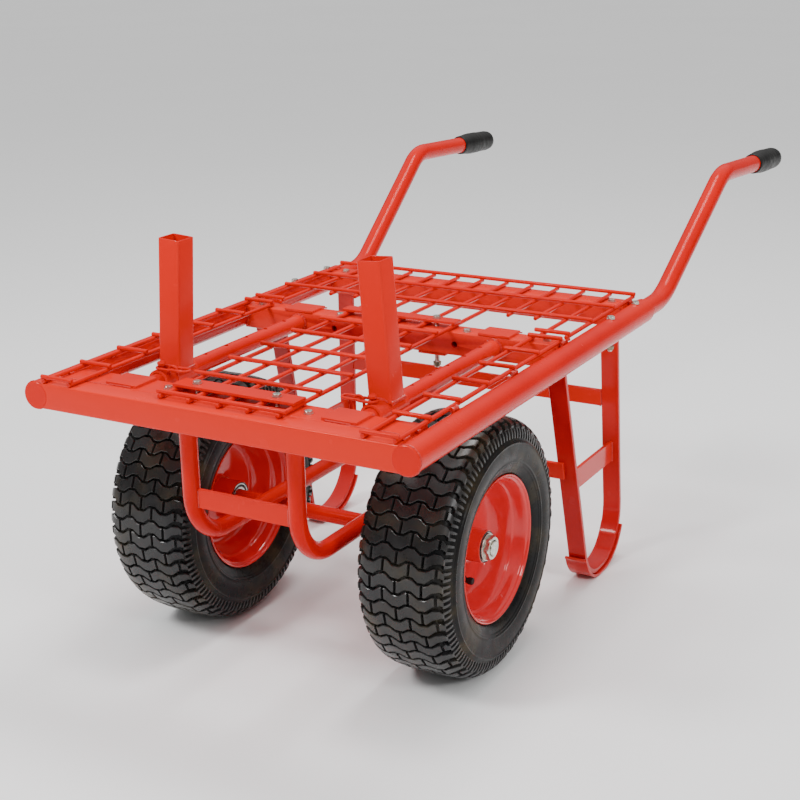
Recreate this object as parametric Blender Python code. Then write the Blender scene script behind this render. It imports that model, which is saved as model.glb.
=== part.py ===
"""Flat-deck two-wheeled barrow with sliding load posts, built as separate named pieces.

Metres, +Z up, +Y toward the handles, +X to the right of somebody pushing it.
Heights are measured from the ground; lengths are written from the front face of the
deck and moved by FRONT so that the origin sits under the middle of the whole barrow.
"""
import math

import bmesh
import bpy
from mathutils import Matrix, Vector

# ---------------------------------------------------------------- driving dimensions
OVERALL = 1.5463         # front face to the ends of the grips
FRONT = -OVERALL / 2     # y of the front face
GAP = 0.0003             # clearance between pieces that touch

TUBE_X, TUBE_Z, TUBE_R = 0.313, 0.4513, 0.0212      # side tubes, 42.4 mm
TUBE_WALL, TUBE_END = 0.0026, 0.851
HANDLE_R = 0.01685                                   # handle tube, 33.7 mm
HANDLE_START = 0.650
HANDLE_BOLTS_Y = (0.700, 0.812)

BAR_H, BAR_WALL = 0.040, 0.0030                      # crossbars, hollow section
BAR_Z0 = 0.4313
FRONT_BAR = (0.0, 0.040)
MIDDLE_BAR = (0.517, 0.557)
REAR_BAR = (0.795, 0.840)
LEDGE_Y = (0.0405, 0.092)
LEDGE_Z = (0.4672, 0.4706)

RAIL_X, RAIL_Z, RAIL_R = 0.186, 0.4533, 0.01345      # slide rails, 26.9 mm
RAIL_HOLE_PITCH, RAIL_HOLES = 0.0555, 7
SADDLE = (0.056, 0.046, 0.0040)

ROD_R, WELD = 0.0032, 0.0006                         # deck mesh rods
LONG_Z = 0.4752
CROSS_Z = LONG_Z + 2 * ROD_R - WELD
MESH_PITCH = 0.050
MESH_X = 0.004                                       # sideways offset of the deck mesh
CENTRE_CROSS_Y = (0.025, 0.124, 0.2105, 0.297, 0.3835, 0.470)
REAR_CROSS_Y = (0.649, 0.746, 0.842)
RUNG_Y0, RUNG_PITCH, RUNGS = 0.0045, 0.0866, 7

WHEEL_X, WHEEL_Y, WHEEL_R = 0.2278, 0.3145, 0.203
AXLE_R = 0.0125
LOOP_X, LOOP_Y, LOOP_Z, LOOP_R = 0.093, 0.075, 0.2295, 0.01345
LOOP_BEND = 0.078

LEG_X, LEG_W, LEG_T, LEG_SPLAY = 0.269, 0.032, 0.008, 0.012
LEG_TOP, LEG_LOW = 0.4308, 0.0104

POST_Y, POST_W, POST_WALL, POST_TOP, POST_LEAN = 0.175, 0.038, 0.0025, 0.668, 4.0
SLEEVE_R, SLEEVE_BORE, SLEEVE_Y = 0.0185, 0.0140, (0.1290, 0.2080)
PIN_Y, PIN_R = 0.1370, 0.0030

# ---------------------------------------------------------------- scene and materials
for old in list(bpy.data.objects):
    bpy.data.objects.remove(old, do_unlink=True)

BODY = bpy.data.collections.new("mesh_deck_barrow")
TOOLS = bpy.data.collections.new("cutters")
for c in (BODY, TOOLS):
    bpy.context.scene.collection.children.link(c)

RED = (0.70, 0.055, 0.028)
BLACK = (0.018, 0.017, 0.016)
ZINC = (0.62, 0.63, 0.58)
STEEL = (0.50, 0.50, 0.49)


def material(name, colour, rough, metal):
    m = bpy.data.materials.new(name)
    m.use_nodes = True
    b = m.node_tree.nodes["Principled BSDF"]
    b.inputs["Base Color"].default_value = (*colour, 1.0)
    b.inputs["Roughness"].default_value = rough
    b.inputs["Metallic"].default_value = metal
    m.diffuse_color = (*colour, 1.0)
    return m


def finish(ob, colour=RED, rough=0.35, metal=0.0):
    """Weld, face outwards and give the object its own material."""
    bm = bmesh.new()
    bm.from_mesh(ob.data)
    bmesh.ops.remove_doubles(bm, verts=bm.verts, dist=1e-6)
    bmesh.ops.recalc_face_normals(bm, faces=bm.faces)
    bm.to_mesh(ob.data)
    bm.free()
    ob.data.materials.clear()
    ob.data.materials.append(material(ob.name, colour, rough, metal))
    return ob


def link(name, bm, where=BODY):
    me = bpy.data.meshes.new(name)
    bm.to_mesh(me)
    bm.free()
    ob = bpy.data.objects.new(name, me)
    where.objects.link(ob)
    return ob


def evaluated(ob):
    """Replace the object's mesh by the result of its modifiers."""
    graph = bpy.context.evaluated_depsgraph_get()
    me = bpy.data.meshes.new_from_object(ob.evaluated_get(graph))
    ob.modifiers.clear()
    ob.data = me
    return ob


def boolean(ob, tools, operation="DIFFERENCE"):
    for tool in tools:
        tool.hide_render = True
        tool.display_type = "WIRE"
        m = ob.modifiers.new("cut", "BOOLEAN")
        m.solver = "EXACT"
        m.operation = operation
        m.object = tool
    return evaluated(ob)


# ---------------------------------------------------------------- shape helpers
def add_box(bm, x0, x1, y0, y1, z0, z1):
    made = bmesh.ops.create_cube(bm, size=1.0)["verts"]
    for v in made:
        v.co = Vector((x0 + (v.co.x + 0.5) * (x1 - x0),
                       y0 + (v.co.y + 0.5) * (y1 - y0) + FRONT,
                       z0 + (v.co.z + 0.5) * (z1 - z0)))
    return made


def box(name, x0, x1, y0, y1, z0, z1, where=BODY, round_by=0.0):
    bm = bmesh.new()
    add_box(bm, x0, x1, y0, y1, z0, z1)
    if round_by:
        edges = [e for e in bm.edges if abs((e.verts[0].co - e.verts[1].co).x) > 1e-6]
        bmesh.ops.bevel(bm, geom=edges, offset=round_by, segments=2, affect="EDGES", profile=0.5)
    return link(name, bm, where)


def add_cylinder(bm, centre, axis, radius, length, sides=24, radius2=None):
    """A capped cylinder or cone whose middle is at centre, along axis."""
    turn = Vector((0, 0, 1)).rotation_difference(Vector(axis)).to_matrix().to_4x4()
    at = Matrix.Translation(Vector(centre) + Vector((0, FRONT, 0)))
    return bmesh.ops.create_cone(bm, cap_ends=True, segments=sides, radius1=radius,
                                 radius2=radius if radius2 is None else radius2,
                                 depth=length, matrix=at @ turn)["verts"]


def cylinder(name, centre, axis, radius, length, sides=24, where=BODY):
    bm = bmesh.new()
    add_cylinder(bm, centre, axis, radius, length, sides)
    return link(name, bm, where)


def sweep(name, points, radius, sides=16, where=BODY):
    """A solid round bar along a polyline."""
    cu = bpy.data.curves.new(name, "CURVE")
    cu.dimensions = "3D"
    cu.bevel_depth = radius
    cu.bevel_resolution = (sides - 4) // 4 + 1 if sides > 4 else 0
    cu.use_fill_caps = True
    sp = cu.splines.new("POLY")
    sp.points.add(len(points) - 1)
    for p, q in zip(sp.points, points):
        p.co = (q[0], q[1] + FRONT, q[2], 1.0)
    ob = bpy.data.objects.new(name, cu)
    bpy.context.scene.collection.objects.link(ob)
    graph = bpy.context.evaluated_depsgraph_get()
    me = bpy.data.meshes.new_from_object(ob.evaluated_get(graph))
    me.transform(ob.matrix_world)
    bpy.data.objects.remove(ob, do_unlink=True)
    bm = bmesh.new()
    bm.from_mesh(me)
    bmesh.ops.remove_doubles(bm, verts=bm.verts, dist=1e-5)
    return link(name, bm, where)


def arc_corner(a, corner, b, radius, steps):
    """Points that round the corner a-corner-b with the given radius."""
    a, corner, b = Vector(a), Vector(corner), Vector(b)
    u, v = (a - corner).normalized(), (b - corner).normalized()
    half = u.angle(v) / 2
    cut = radius / math.tan(half)
    centre = corner + (u + v).normalized() * (radius / math.sin(half))
    p, q = corner + u * cut - centre, corner + v * cut - centre
    total = p.angle(q)
    return [centre + (p * math.sin((1 - t) * total) + q * math.sin(t * total)) / math.sin(total)
            for t in (i / steps for i in range(steps + 1))]


def revolve(name, profile, centre, sides, where=BODY, bump=None):
    """Turn a closed (x, radius) outline about the X axis through centre."""
    bm = bmesh.new()
    rings = []
    for i in range(sides):
        a = 2 * math.pi * i / sides
        ring = []
        for j, (x, r) in enumerate(profile):
            rr = r + (bump(i, j) if bump else 0.0)
            ring.append(bm.verts.new((centre[0] + x, centre[1] + FRONT + rr * math.cos(a),
                                      centre[2] + rr * math.sin(a))))
        rings.append(ring)
    n = len(profile)
    for i in range(sides):
        a, b = rings[i], rings[(i + 1) % sides]
        for j in range(n):
            bm.faces.new((a[j], a[(j + 1) % n], b[(j + 1) % n], b[j]))
    return link(name, bm, where)


def ribbon(name, path, thickness, x0, x1, lean=None, where=BODY):
    """A flat bar x0..x1 wide bent along a path of (y, z) points."""
    bm = bmesh.new()
    rings = []
    for i, p in enumerate(path):
        before = Vector(path[max(i - 1, 0)])
        after = Vector(path[min(i + 1, len(path) - 1)])
        along = (after - before).normalized()
        side = Vector((-along.y, along.x)) * thickness / 2
        ring = []
        for x, s in ((x0, -1), (x1, -1), (x1, 1), (x0, 1)):
            y, z = Vector(p) + side * s
            shift = lean(z) if lean else 0.0
            ring.append(bm.verts.new((x + shift, y + FRONT, z)))
        rings.append(ring)
    for a, b in zip(rings, rings[1:]):
        for j in range(4):
            bm.faces.new((a[j], a[(j + 1) % 4], b[(j + 1) % 4], b[j]))
    bm.faces.new(rings[0][::-1])
    bm.faces.new(rings[-1])
    return link(name, bm, where)


SIDES = (("left", -1), ("right", 1))

# ---------------------------------------------------------------- cutters shared by the frame
side_cut = [cylinder("cut_side_" + n, (s * TUBE_X, 0.40, TUBE_Z), (0, 1, 0), TUBE_R + GAP, 1.0,
                     32, TOOLS) for n, s in SIDES]
rail_cut = [cylinder("cut_rail_" + n, (s * RAIL_X, 0.30, RAIL_Z), (0, 1, 0), RAIL_R + GAP, 1.0,
                     20, TOOLS) for n, s in SIDES]
axle_cut = cylinder("cut_axle", (0, WHEEL_Y, WHEEL_R), (1, 0, 0), AXLE_R + GAP, 0.7, 24, TOOLS)

# bolt positions in x, and the y they share
STRIP_BOLTS_X, STRIP_BOLT_Y = (-0.066, 0.071), 0.069
CLAMP_BOLTS_X, CLAMP_BOLT_Y = (-0.066, 0.071), 0.540
REAR_BOLTS_X, REAR_BOLT_Y = (-0.270, 0.270), 0.812
BOLT_R = 0.0040


def bore(name, spots, z, length, radius=BOLT_R + GAP):
    bm = bmesh.new()
    for x, y in spots:
        add_cylinder(bm, (x, y, z), (0, 0, 1), radius, length, 8)
    return link(name, bm, TOOLS)


strip_bores = bore("cut_strip_bolts", [(x, STRIP_BOLT_Y) for x in STRIP_BOLTS_X], 0.470, 0.060)
rear_bores = bore("cut_rear_bolts", [(x, REAR_BOLT_Y) for x in REAR_BOLTS_X], 0.450, 0.080)
clamp_bores = bore("cut_clamp_bolts", [(x, CLAMP_BOLT_Y) for x in CLAMP_BOLTS_X], 0.450, 0.140)
handle_bores = bore("cut_handle_bolts", [(s * TUBE_X, y) for s in (-1, 1) for y in HANDLE_BOLTS_Y],
                    0.450, 0.080)



def lean(s):
    """The posts, their pins and the pin holes all lean inward about the rail's axis."""
    at = Vector((s * RAIL_X, 0, RAIL_Z))
    return (Matrix.Translation(at) @ Matrix.Rotation(math.radians(-s * POST_LEAN), 4, "Y")
            @ Matrix.Translation(-at))


# ---------------------------------------------------------------- side tubes and end plates
for n, s in SIDES:
    tube = cylinder("side_tube_" + n, (s * TUBE_X, (0.0034 + TUBE_END) / 2, TUBE_Z), (0, 1, 0),
                    TUBE_R, TUBE_END - 0.0034, 32)
    core = cylinder("cut_tube_core_" + n, (s * TUBE_X, 0.45, TUBE_Z), (0, 1, 0),
                    TUBE_R - TUBE_WALL, 1.0, 32, TOOLS)
    finish(boolean(tube, [core, handle_bores]))

    # flat plate on the tube's front end: round outside, straight beside the bar
    bm = bmesh.new()
    outline = []
    for i in range(17):
        a = math.pi / 2 - math.pi * i / 16
        outline.append((TUBE_X + TUBE_R * math.cos(a), TUBE_Z + TUBE_R * math.sin(a)))
    outline += [(0.2914, TUBE_Z - TUBE_R + 0.0014), (0.2914, TUBE_Z + TUBE_R - 0.0014)]
    near = [bm.verts.new((s * x, FRONT, z)) for x, z in outline]
    far = [bm.verts.new((s * x, FRONT + 0.0030, z)) for x, z in outline]
    bm.faces.new(near)
    bm.faces.new(far[::-1])
    for i in range(len(outline)):
        j = (i + 1) % len(outline)
        bm.faces.new((near[j], near[i], far[i], far[j]))
    finish(link("end_plate_" + n, bm))

# ---------------------------------------------------------------- crossbars
def saddles(name, y0, top):
    """Raised plates over the two rails, sunk a little so that they join what they sit on."""
    return [box("join_saddle_%s_%s" % (name, n), s * RAIL_X - SADDLE[0] / 2,
                s * RAIL_X + SADDLE[0] / 2, y0, y0 + SADDLE[1], top - 0.0010,
                top + SADDLE[2], TOOLS) for n, s in SIDES]


def crossbar(name, y0, y1, half, cuts, coped=True, joins=()):
    bar = box(name, -half, half, y0, y1, BAR_Z0, BAR_Z0 + BAR_H, round_by=0.003)
    if joins:
        boolean(bar, joins, "UNION")
    hollow = box("cut_inside_" + name, -half - 0.01, half + 0.01, y0 + BAR_WALL, y1 - BAR_WALL,
                 BAR_Z0 + BAR_WALL, BAR_Z0 + BAR_H - BAR_WALL, TOOLS)
    return finish(boolean(bar, [hollow] + (side_cut if coped else []) + cuts))


crossbar("front_bar", *FRONT_BAR, 0.2911, [], coped=False)
crossbar("middle_crossbar", *MIDDLE_BAR, 0.3060, [clamp_bores],
         joins=saddles("bar", MIDDLE_BAR[0] - 0.003, BAR_Z0 + BAR_H))
crossbar("rear_crossbar", *REAR_BAR, 0.3060, [rear_bores])

# angle behind the front bar: a flat on top and a web the rails are welded through
ledge = box("front_ledge", -0.3050, 0.3050, *LEDGE_Y, *LEDGE_Z)
web = box("join_ledge_web", -0.3050, 0.3050, LEDGE_Y[1] - 0.0030, LEDGE_Y[1],
          LEDGE_Z[0] - 0.0260, LEDGE_Z[1] - 0.0010, TOOLS)
boolean(ledge, [web] + saddles("ledge", LEDGE_Y[0] + 0.0022, LEDGE_Z[1]), "UNION")
finish(boolean(ledge, side_cut + rail_cut + [strip_bores]))

# ---------------------------------------------------------------- slide rails
for n, s in SIDES:
    y0, y1 = FRONT_BAR[1] + GAP, MIDDLE_BAR[0] - GAP
    rail = cylinder("rail_" + n, (s * RAIL_X, (y0 + y1) / 2, RAIL_Z), (0, 1, 0), RAIL_R, y1 - y0, 20)
    core = cylinder("cut_rail_core_" + n, (s * RAIL_X, 0.28, RAIL_Z), (0, 1, 0),
                    RAIL_R - 0.0028, 1.0, 12, TOOLS)
    holes = bore("cut_rail_holes_" + n, [(s * RAIL_X, PIN_Y + RAIL_HOLE_PITCH * i)
                                         for i in range(RAIL_HOLES)], RAIL_Z, 0.05, PIN_R + 0.0006)
    holes.data.transform(lean(s))
    finish(boolean(rail, [core, holes]))

# ---------------------------------------------------------------- handles and grips
GRIP_LEN, GRIP_SIDES = 0.142, 18
for n, s in SIDES:
    knots = [(TUBE_X, HANDLE_START, TUBE_Z), (TUBE_X, 0.9430, TUBE_Z),
             (0.3300, 1.2084, 0.6380), (0.3325, 1.5395, 0.6213)]
    knots = [(s * x, y, z) for x, y, z in knots]
    path = ([knots[0]] + arc_corner(knots[0], knots[1], knots[2], 0.110, 5)
            + arc_corner(knots[1], knots[2], knots[3], 0.085, 6) + [knots[3]])
    finish(boolean(sweep("handle_" + n, path, HANDLE_R, 20), [handle_bores]))

    # rubber grip: a collar, a swelling, a waist and a round end over the tube
    end, before = Vector(knots[3]), Vector(knots[2])
    along = (end - before).normalized()
    start = end + along * 0.006 - along * GRIP_LEN
    stations = ((0.000, 0.0188), (0.006, 0.0200), (0.020, 0.0204), (0.034, 0.0224), (0.046, 0.0226),
                (0.062, 0.0208), (0.092, 0.0206), (0.108, 0.0226), (0.124, 0.0230), (0.135, 0.0212),
                (GRIP_LEN, 0.0150))
    bm = bmesh.new()
    turn = Vector((0, 0, 1)).rotation_difference(along)
    rings = []
    inner = HANDLE_R + GAP
    for d, r in [(0.0, inner)] + list(stations):
        rings.append([bm.verts.new(start + Vector((0, FRONT, 0)) + along * d
                                   + turn @ Vector((r * math.cos(a), r * math.sin(a), 0)))
                      for a in (2 * math.pi * i / GRIP_SIDES for i in range(GRIP_SIDES))])
    tip = [bm.verts.new(start + Vector((0, FRONT, 0)) + along * (GRIP_LEN - 0.0057)
                        + turn @ Vector((inner * math.cos(a), inner * math.sin(a), 0)))
           for a in (2 * math.pi * i / GRIP_SIDES for i in range(GRIP_SIDES))]
    for a, b in list(zip(rings, rings[1:])) + [(tip, rings[0])]:
        for i in range(GRIP_SIDES):
            j = (i + 1) % GRIP_SIDES
            bm.faces.new((a[i], a[j], b[j], b[i]))
    bm.faces.new(rings[-1])
    bm.faces.new(tip[::-1])
    finish(link("grip_" + n, bm), BLACK, 0.7)

# ---------------------------------------------------------------- fasteners
def hexagon(radius, z, x, y):
    """Twelve points round a hexagon whose corners are radius away."""
    points = []
    for i in range(12):
        a = math.pi * i / 6
        r = radius * (1.0 if i % 2 == 0 else math.cos(math.pi / 6))
        points.append((x + r * math.cos(a), y + FRONT + r * math.sin(a), z))
    return points


def circle(radius, z, x, y):
    return [(x + radius * math.cos(math.pi * i / 6), y + FRONT + radius * math.sin(math.pi * i / 6), z)
            for i in range(12)]


def bolt(name, x, y, top, length, head=0.0068, head_h=0.0045):
    """A hexagon-headed bolt under which everything is gripped, with its nut screwed on."""
    nut_top = top - length + 0.0095
    layers = [hexagon(head, top + head_h, x, y), hexagon(head, top, x, y), circle(BOLT_R, top, x, y),
              circle(BOLT_R, nut_top, x, y), hexagon(head, nut_top, x, y),
              hexagon(head, nut_top - 0.0065, x, y), circle(BOLT_R, nut_top - 0.0065, x, y),
              circle(BOLT_R, top - length, x, y)]
    bm = bmesh.new()
    rings = [[bm.verts.new(p) for p in layer] for layer in layers]
    for a, b in zip(rings, rings[1:]):
        for i in range(12):
            bm.faces.new((a[i], a[(i + 1) % 12], b[(i + 1) % 12], b[i]))
    bm.faces.new(rings[0][::-1])
    bm.faces.new(rings[-1])
    return finish(link(name, bm), ZINC, 0.4, 0.9)


for n, s in SIDES:
    for where, y in zip(("front", "back"), HANDLE_BOLTS_Y):
        bolt("handle_bolt_%s_%s" % (n, where), s * TUBE_X, y, TUBE_Z + TUBE_R + GAP, 0.0560)

CLAMP_Z = LONG_Z + ROD_R + 0.0004
for n, x in zip(("left", "right"), STRIP_BOLTS_X):
    bolt("strip_bolt_" + n, x, STRIP_BOLT_Y, CLAMP_Z + 0.0050 + GAP, 0.0300)
for n, x in zip(("left", "right"), CLAMP_BOLTS_X):
    bolt("clamp_bolt_" + n, x, CLAMP_BOLT_Y, CLAMP_Z + 0.0050 + GAP, 0.0840)
for n, x in zip(("left", "right"), REAR_BOLTS_X):
    bolt("rear_bolt_" + n, x, REAR_BOLT_Y, BAR_Z0 + BAR_H + GAP, 0.0130)

# ---------------------------------------------------------------- deck mesh
def rods(name, along, spans, where):
    """Straight rods along 'x' or 'y': each span is (position, start, end, height)."""
    bm = bmesh.new()
    for at, a, b, z in spans:
        mid = (a + b) / 2
        centre, axis = ((mid, at, z), (1, 0, 0)) if along == "x" else ((at, mid, z), (0, 1, 0))
        add_cylinder(bm, centre, axis, ROD_R, b - a, 8)
    return link(name, bm, where)


def mesh_panel(name, long_spans, cross_spans, cuts=()):
    panel = rods(name, "y", long_spans, BODY)
    boolean(panel, [rods("cut_cross_" + name, "x", cross_spans, TOOLS)], "UNION")
    if cuts:
        boolean(panel, list(cuts))
    return finish(panel)


long_spans, cross_spans = [], []
for k in range(-5, 6):
    start = 0.018 if abs(k) <= 2 else 0.550 if abs(k) == 5 else 0.636
    long_spans.append((MESH_X + MESH_PITCH * k, start, 0.8460, LONG_Z))
for s in (-1, 1):
    long_spans.append((s * 0.2965, 0.550, 0.8460, LONG_Z))
    cross_spans.append((0.5560, *sorted((s * 0.2400, s * 0.3010)), CROSS_Z))
for i, y in enumerate(CENTRE_CROSS_Y):
    a, b = (-0.104, 0.116) if i == 0 else (-0.112, 0.102 + 0.008)
    cross_spans.append((y, a, b, CROSS_Z))
for y in REAR_CROSS_Y:
    cross_spans.append((y, -0.3005, 0.3015, CROSS_Z))
mesh_panel("deck_mesh", long_spans, cross_spans)

for n, s in SIDES:
    pair = [(s * 0.2485, 0.0005, 0.5330, LONG_Z), (s * 0.2965, 0.0005, 0.5330, LONG_Z)]
    rungs = [(RUNG_Y0 + RUNG_PITCH * i, *sorted((s * 0.2430, s * 0.3020)), CROSS_Z)
             for i in range(RUNGS)]
    mesh_panel("side_mesh_" + n, pair, rungs)

# flat strips that hold the mesh down, and the plate the long bolts pull up against
finish(boolean(box("clamp_strip_front", -0.100, 0.108, 0.0550, 0.0870, CLAMP_Z, CLAMP_Z + 0.0050),
               [strip_bores]))
finish(boolean(box("clamp_strip_rear", -0.104, 0.110, 0.5280, 0.5520, CLAMP_Z, CLAMP_Z + 0.0050),
               [clamp_bores]))
finish(boolean(box("clamp_plate_lower", 0.046, 0.096, 0.5200, 0.5600, 0.4270, BAR_Z0 - GAP),
               [clamp_bores]))

# ---------------------------------------------------------------- under-frame
for n, s in SIDES:
    knots = [(s * LOOP_X, LOOP_Y, LEDGE_Z[0] - GAP), (s * LOOP_X, LOOP_Y, LOOP_Z),
             (s * LOOP_X, 0.6050, LOOP_Z)]
    path = [knots[0]] + arc_corner(*knots, LOOP_BEND, 8) + [knots[2]]
    finish(boolean(sweep("under_tube_" + n, path, LOOP_R, 16), [axle_cut]))
finish(box("under_tie", -LOOP_X + LOOP_R + GAP, LOOP_X - LOOP_R - GAP, 0.0720, 0.0780, 0.2890, 0.3190))


def splay(s):
    return lambda z: s * LEG_SPLAY * (LEG_TOP - z) / LEG_TOP


def front_y(z):
    """Centre line of the sloping front side of the leg."""
    return 0.5730 + (LEG_TOP - z) * (0.6700 - 0.5730) / (LEG_TOP - LEG_LOW)


def rear_y(z):
    return 0.8080 + (LEG_TOP - z) * (0.8215 - 0.8080) / (LEG_TOP - LEG_LOW)


def leg_path():
    """Centre line of the strap as (y, z): a tab under the middle bar, the U, the rear bar."""
    tab_z = LEG_TOP - LEG_T / 2 - 0.0002
    tab, knee = (0, 0.5300, tab_z), (0, front_y(tab_z), tab_z)
    toe, heel = (0, front_y(LEG_LOW), LEG_LOW), (0, rear_y(LEG_LOW), LEG_LOW)
    top = (0, rear_y(LEG_TOP), LEG_TOP)
    points = [Vector(tab)] + arc_corner(tab, knee, toe, 0.010, 4) + arc_corner(knee, toe, heel, 0.055, 6)
    points += arc_corner(toe, heel, top, 0.088, 9) + [Vector(top)]
    return [(p.y, p.z) for p in points]


for n, s in SIDES:
    x0, x1 = sorted((s * (LEG_X - LEG_W / 2), s * (LEG_X + LEG_W / 2)))
    path = leg_path()
    finish(ribbon("leg_" + n, path, LEG_T, x0, x1, splay(s)))

    # shoe plate wrapped round the outside of the bend
    outer = []
    for i, p in enumerate(path[1:-1], 1):
        along = (Vector(path[i + 1]) - Vector(path[i - 1])).normalized()
        out = Vector((along.y, -along.x))
        q = Vector(p) + out * (LEG_T / 2 + GAP + 0.0034)
        if q.y < 0.060:
            outer.append((q.x, q.y))
    outer[0] = (outer[0][0] - 0.0030, outer[0][1])
    fx0, fx1 = sorted((s * (LEG_X - 0.020), s * (LEG_X + 0.020)))
    finish(ribbon("leg_shoe_" + n, outer, 0.0050, fx0, fx1, splay(s)))

    # level brace between the two sides of the strap
    za, zb = 0.1785, 0.2165
    shift = splay(s)((za + zb) / 2)
    bm = bmesh.new()
    cx = s * LEG_X + shift
    corners = [(front_y(za) + LEG_T / 2 + 0.0007, za), (rear_y(za) - LEG_T / 2 - 0.0007, za),
               (rear_y(zb) - LEG_T / 2 - 0.0007, zb), (front_y(zb) + LEG_T / 2 + 0.0007, zb)]
    near = [bm.verts.new((cx - 0.003, y + FRONT, z)) for y, z in corners]
    far = [bm.verts.new((cx + 0.003, y + FRONT, z)) for y, z in corners]
    bm.faces.new(near)
    bm.faces.new(far[::-1])
    for i in range(4):
        j = (i + 1) % 4
        bm.faces.new((near[j], near[i], far[i], far[j]))
    finish(link("leg_brace_" + n, bm))

finish(box("leg_tie_upper", -0.2560, 0.2560, 0.8080, 0.8140, 0.2800, 0.3100))
in_front = LEG_T / 2 + 0.0030 + 0.0008
finish(ribbon("leg_tie_lower", [(front_y(z) - in_front, z) for z in (0.2090, 0.2390)], 0.0060,
              -0.2710, 0.2710))

# ---------------------------------------------------------------- axle and wheels
finish(cylinder("axle", (0, WHEEL_Y, WHEEL_R), (1, 0, 0), AXLE_R, 0.5760, 24))

crown = [(0.0815, 0.165), (0.0785, 0.1790), (0.0710, 0.1910), (0.0560, 0.1990),
         (0.0280, 0.2020), (0.0000, WHEEL_R)]
wall = [(0.0620, 0.1060), (0.0637, 0.1155), (0.0790, 0.1310), (0.0822, 0.1490)]
half = wall + crown
outer = half + [(-x, r) for x, r in half[-2::-1]]
inner = [(-0.0500, 0.1030), (-0.0700, 0.1400), (-0.0650, 0.1800), (0.0, 0.1920),
         (0.0650, 0.1800), (0.0700, 0.1400), (0.0500, 0.1030)]
tyre_profile = [(x * 0.97, r) for x, r in outer + inner]
CROWN_FIRST, CROWN_LAST = 6, 12
TYRE_SIDES = 44


def lugs(i, j):
    """Alternate raised blocks and grooves in a zigzag across the crown."""
    if not CROWN_FIRST <= j <= CROWN_LAST:
        return 0.0
    if j in (CROWN_FIRST, CROWN_LAST):
        return 0.0 if i % 2 else -0.0030
    return 0.0 if (i + (j // 2) % 2) % 2 else -0.0035


rim_half = [(0.0650, 0.1130), (0.0650, 0.1152), (0.0620, 0.1152), (0.0602, 0.1030), (0.0450, 0.1015),
            (0.0400, 0.0862)]
rim_under = [(0.0430, 0.0830), (0.0475, 0.0985), (0.0625, 0.1002)]
hub = [(0.0030, 0.0825), (0.0030, 0.0262), (0.0450, 0.0262), (0.0450, 0.0236)]
rim_profile = (rim_half + [(-x, r) for x, r in rim_half[::-1]] + [(-x, r) for x, r in rim_under[::-1]]
               + [(-0.0030, 0.0830)] + [(-x, r) for x, r in hub[1:]]
               + [(x, r) for x, r in hub[:0:-1]] + [(0.0030, 0.0830)] + rim_under)

for n, s in SIDES:
    at = (s * WHEEL_X, WHEEL_Y, WHEEL_R)
    finish(revolve("tyre_" + n, tyre_profile, at, TYRE_SIDES, bump=lugs), BLACK, 0.8)
    rim = revolve("rim_" + n, rim_profile, at, 28)
    valve_at = (at[0] + s * 0.0140, WHEEL_Y, WHEEL_R - 0.0640)
    hole = cylinder("cut_valve_" + n, valve_at, (1, 0, 0), 0.0043, 0.06, 12, TOOLS)
    finish(boolean(rim, [hole]))

    for where, d in (("inner", -s * 0.0395), ("outer", s * 0.0395)):
        ring = [(d - 0.006, 0.0130), (d + 0.006, 0.0130), (d + 0.006, 0.0233), (d - 0.006, 0.0233)]
        finish(revolve("bearing_%s_%s" % (n, where), ring, at, 20), STEEL, 0.35, 0.9)

    stem = cylinder("valve_" + n, valve_at, (1, 0, 0), 0.0040, 0.0380, 12)
    cap = cylinder("cut_cap_" + n, (valve_at[0] + s * 0.0150, valve_at[1], valve_at[2]), (1, 0, 0),
                   0.0056, 0.0130, 12, TOOLS)
    finish(boolean(stem, [cap], "UNION"), BLACK, 0.6)

for n, s in SIDES:
    nut = cylinder("axle_nut_" + n, (s * 0.2795, WHEEL_Y, WHEEL_R), (1, 0, 0), 0.0195, 0.0110, 6)
    finish(boolean(nut, [axle_cut]), ZINC, 0.4, 0.9)

# ---------------------------------------------------------------- sliding posts
for n, s in SIDES:
    h = POST_W / 2
    y0, y1 = POST_Y - h, POST_Y + h
    x = s * RAIL_X
    post = box("post_" + n, x - h, x + h, y0, y1, RAIL_Z + 0.012, POST_TOP, round_by=0.0)
    sleeve = cylinder("cut_sleeve_" + n, (x, sum(SLEEVE_Y) / 2, RAIL_Z), (0, 1, 0), SLEEVE_R,
                      SLEEVE_Y[1] - SLEEVE_Y[0], 24, TOOLS)
    inside = box("cut_post_inside_" + n, x - h + POST_WALL, x + h - POST_WALL, y0 + POST_WALL,
                 y1 - POST_WALL, RAIL_Z + SLEEVE_R + 0.001, POST_TOP + 0.02, TOOLS)
    tunnel = cylinder("cut_tunnel_" + n, (x, 0.17, RAIL_Z), (0, 1, 0), SLEEVE_BORE, 0.3, 24, TOOLS)
    pin_hole = cylinder("cut_post_pin_" + n, (x, PIN_Y, RAIL_Z), (0, 0, 1), PIN_R + 0.0005, 0.08, 12, TOOLS)
    boolean(post, [sleeve], "UNION")
    boolean(post, [inside, tunnel, pin_hole])
    post.data.transform(lean(s))
    finish(post)

    # headed lock pin in the front of the sleeve, lifted until its tip just clears the rail
    pin = cylinder("post_pin_" + n, (x, PIN_Y, RAIL_Z + 0.0262), (0, 0, 1), PIN_R, 0.0240, 12)
    head = cylinder("join_pin_head_" + n, (x, PIN_Y, RAIL_Z + 0.0360), (0, 0, 1), 0.0048, 0.0050, 12, TOOLS)
    boolean(pin, [head], "UNION")
    pin.data.transform(lean(s))
    finish(pin, ZINC, 0.4, 0.9)

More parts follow.
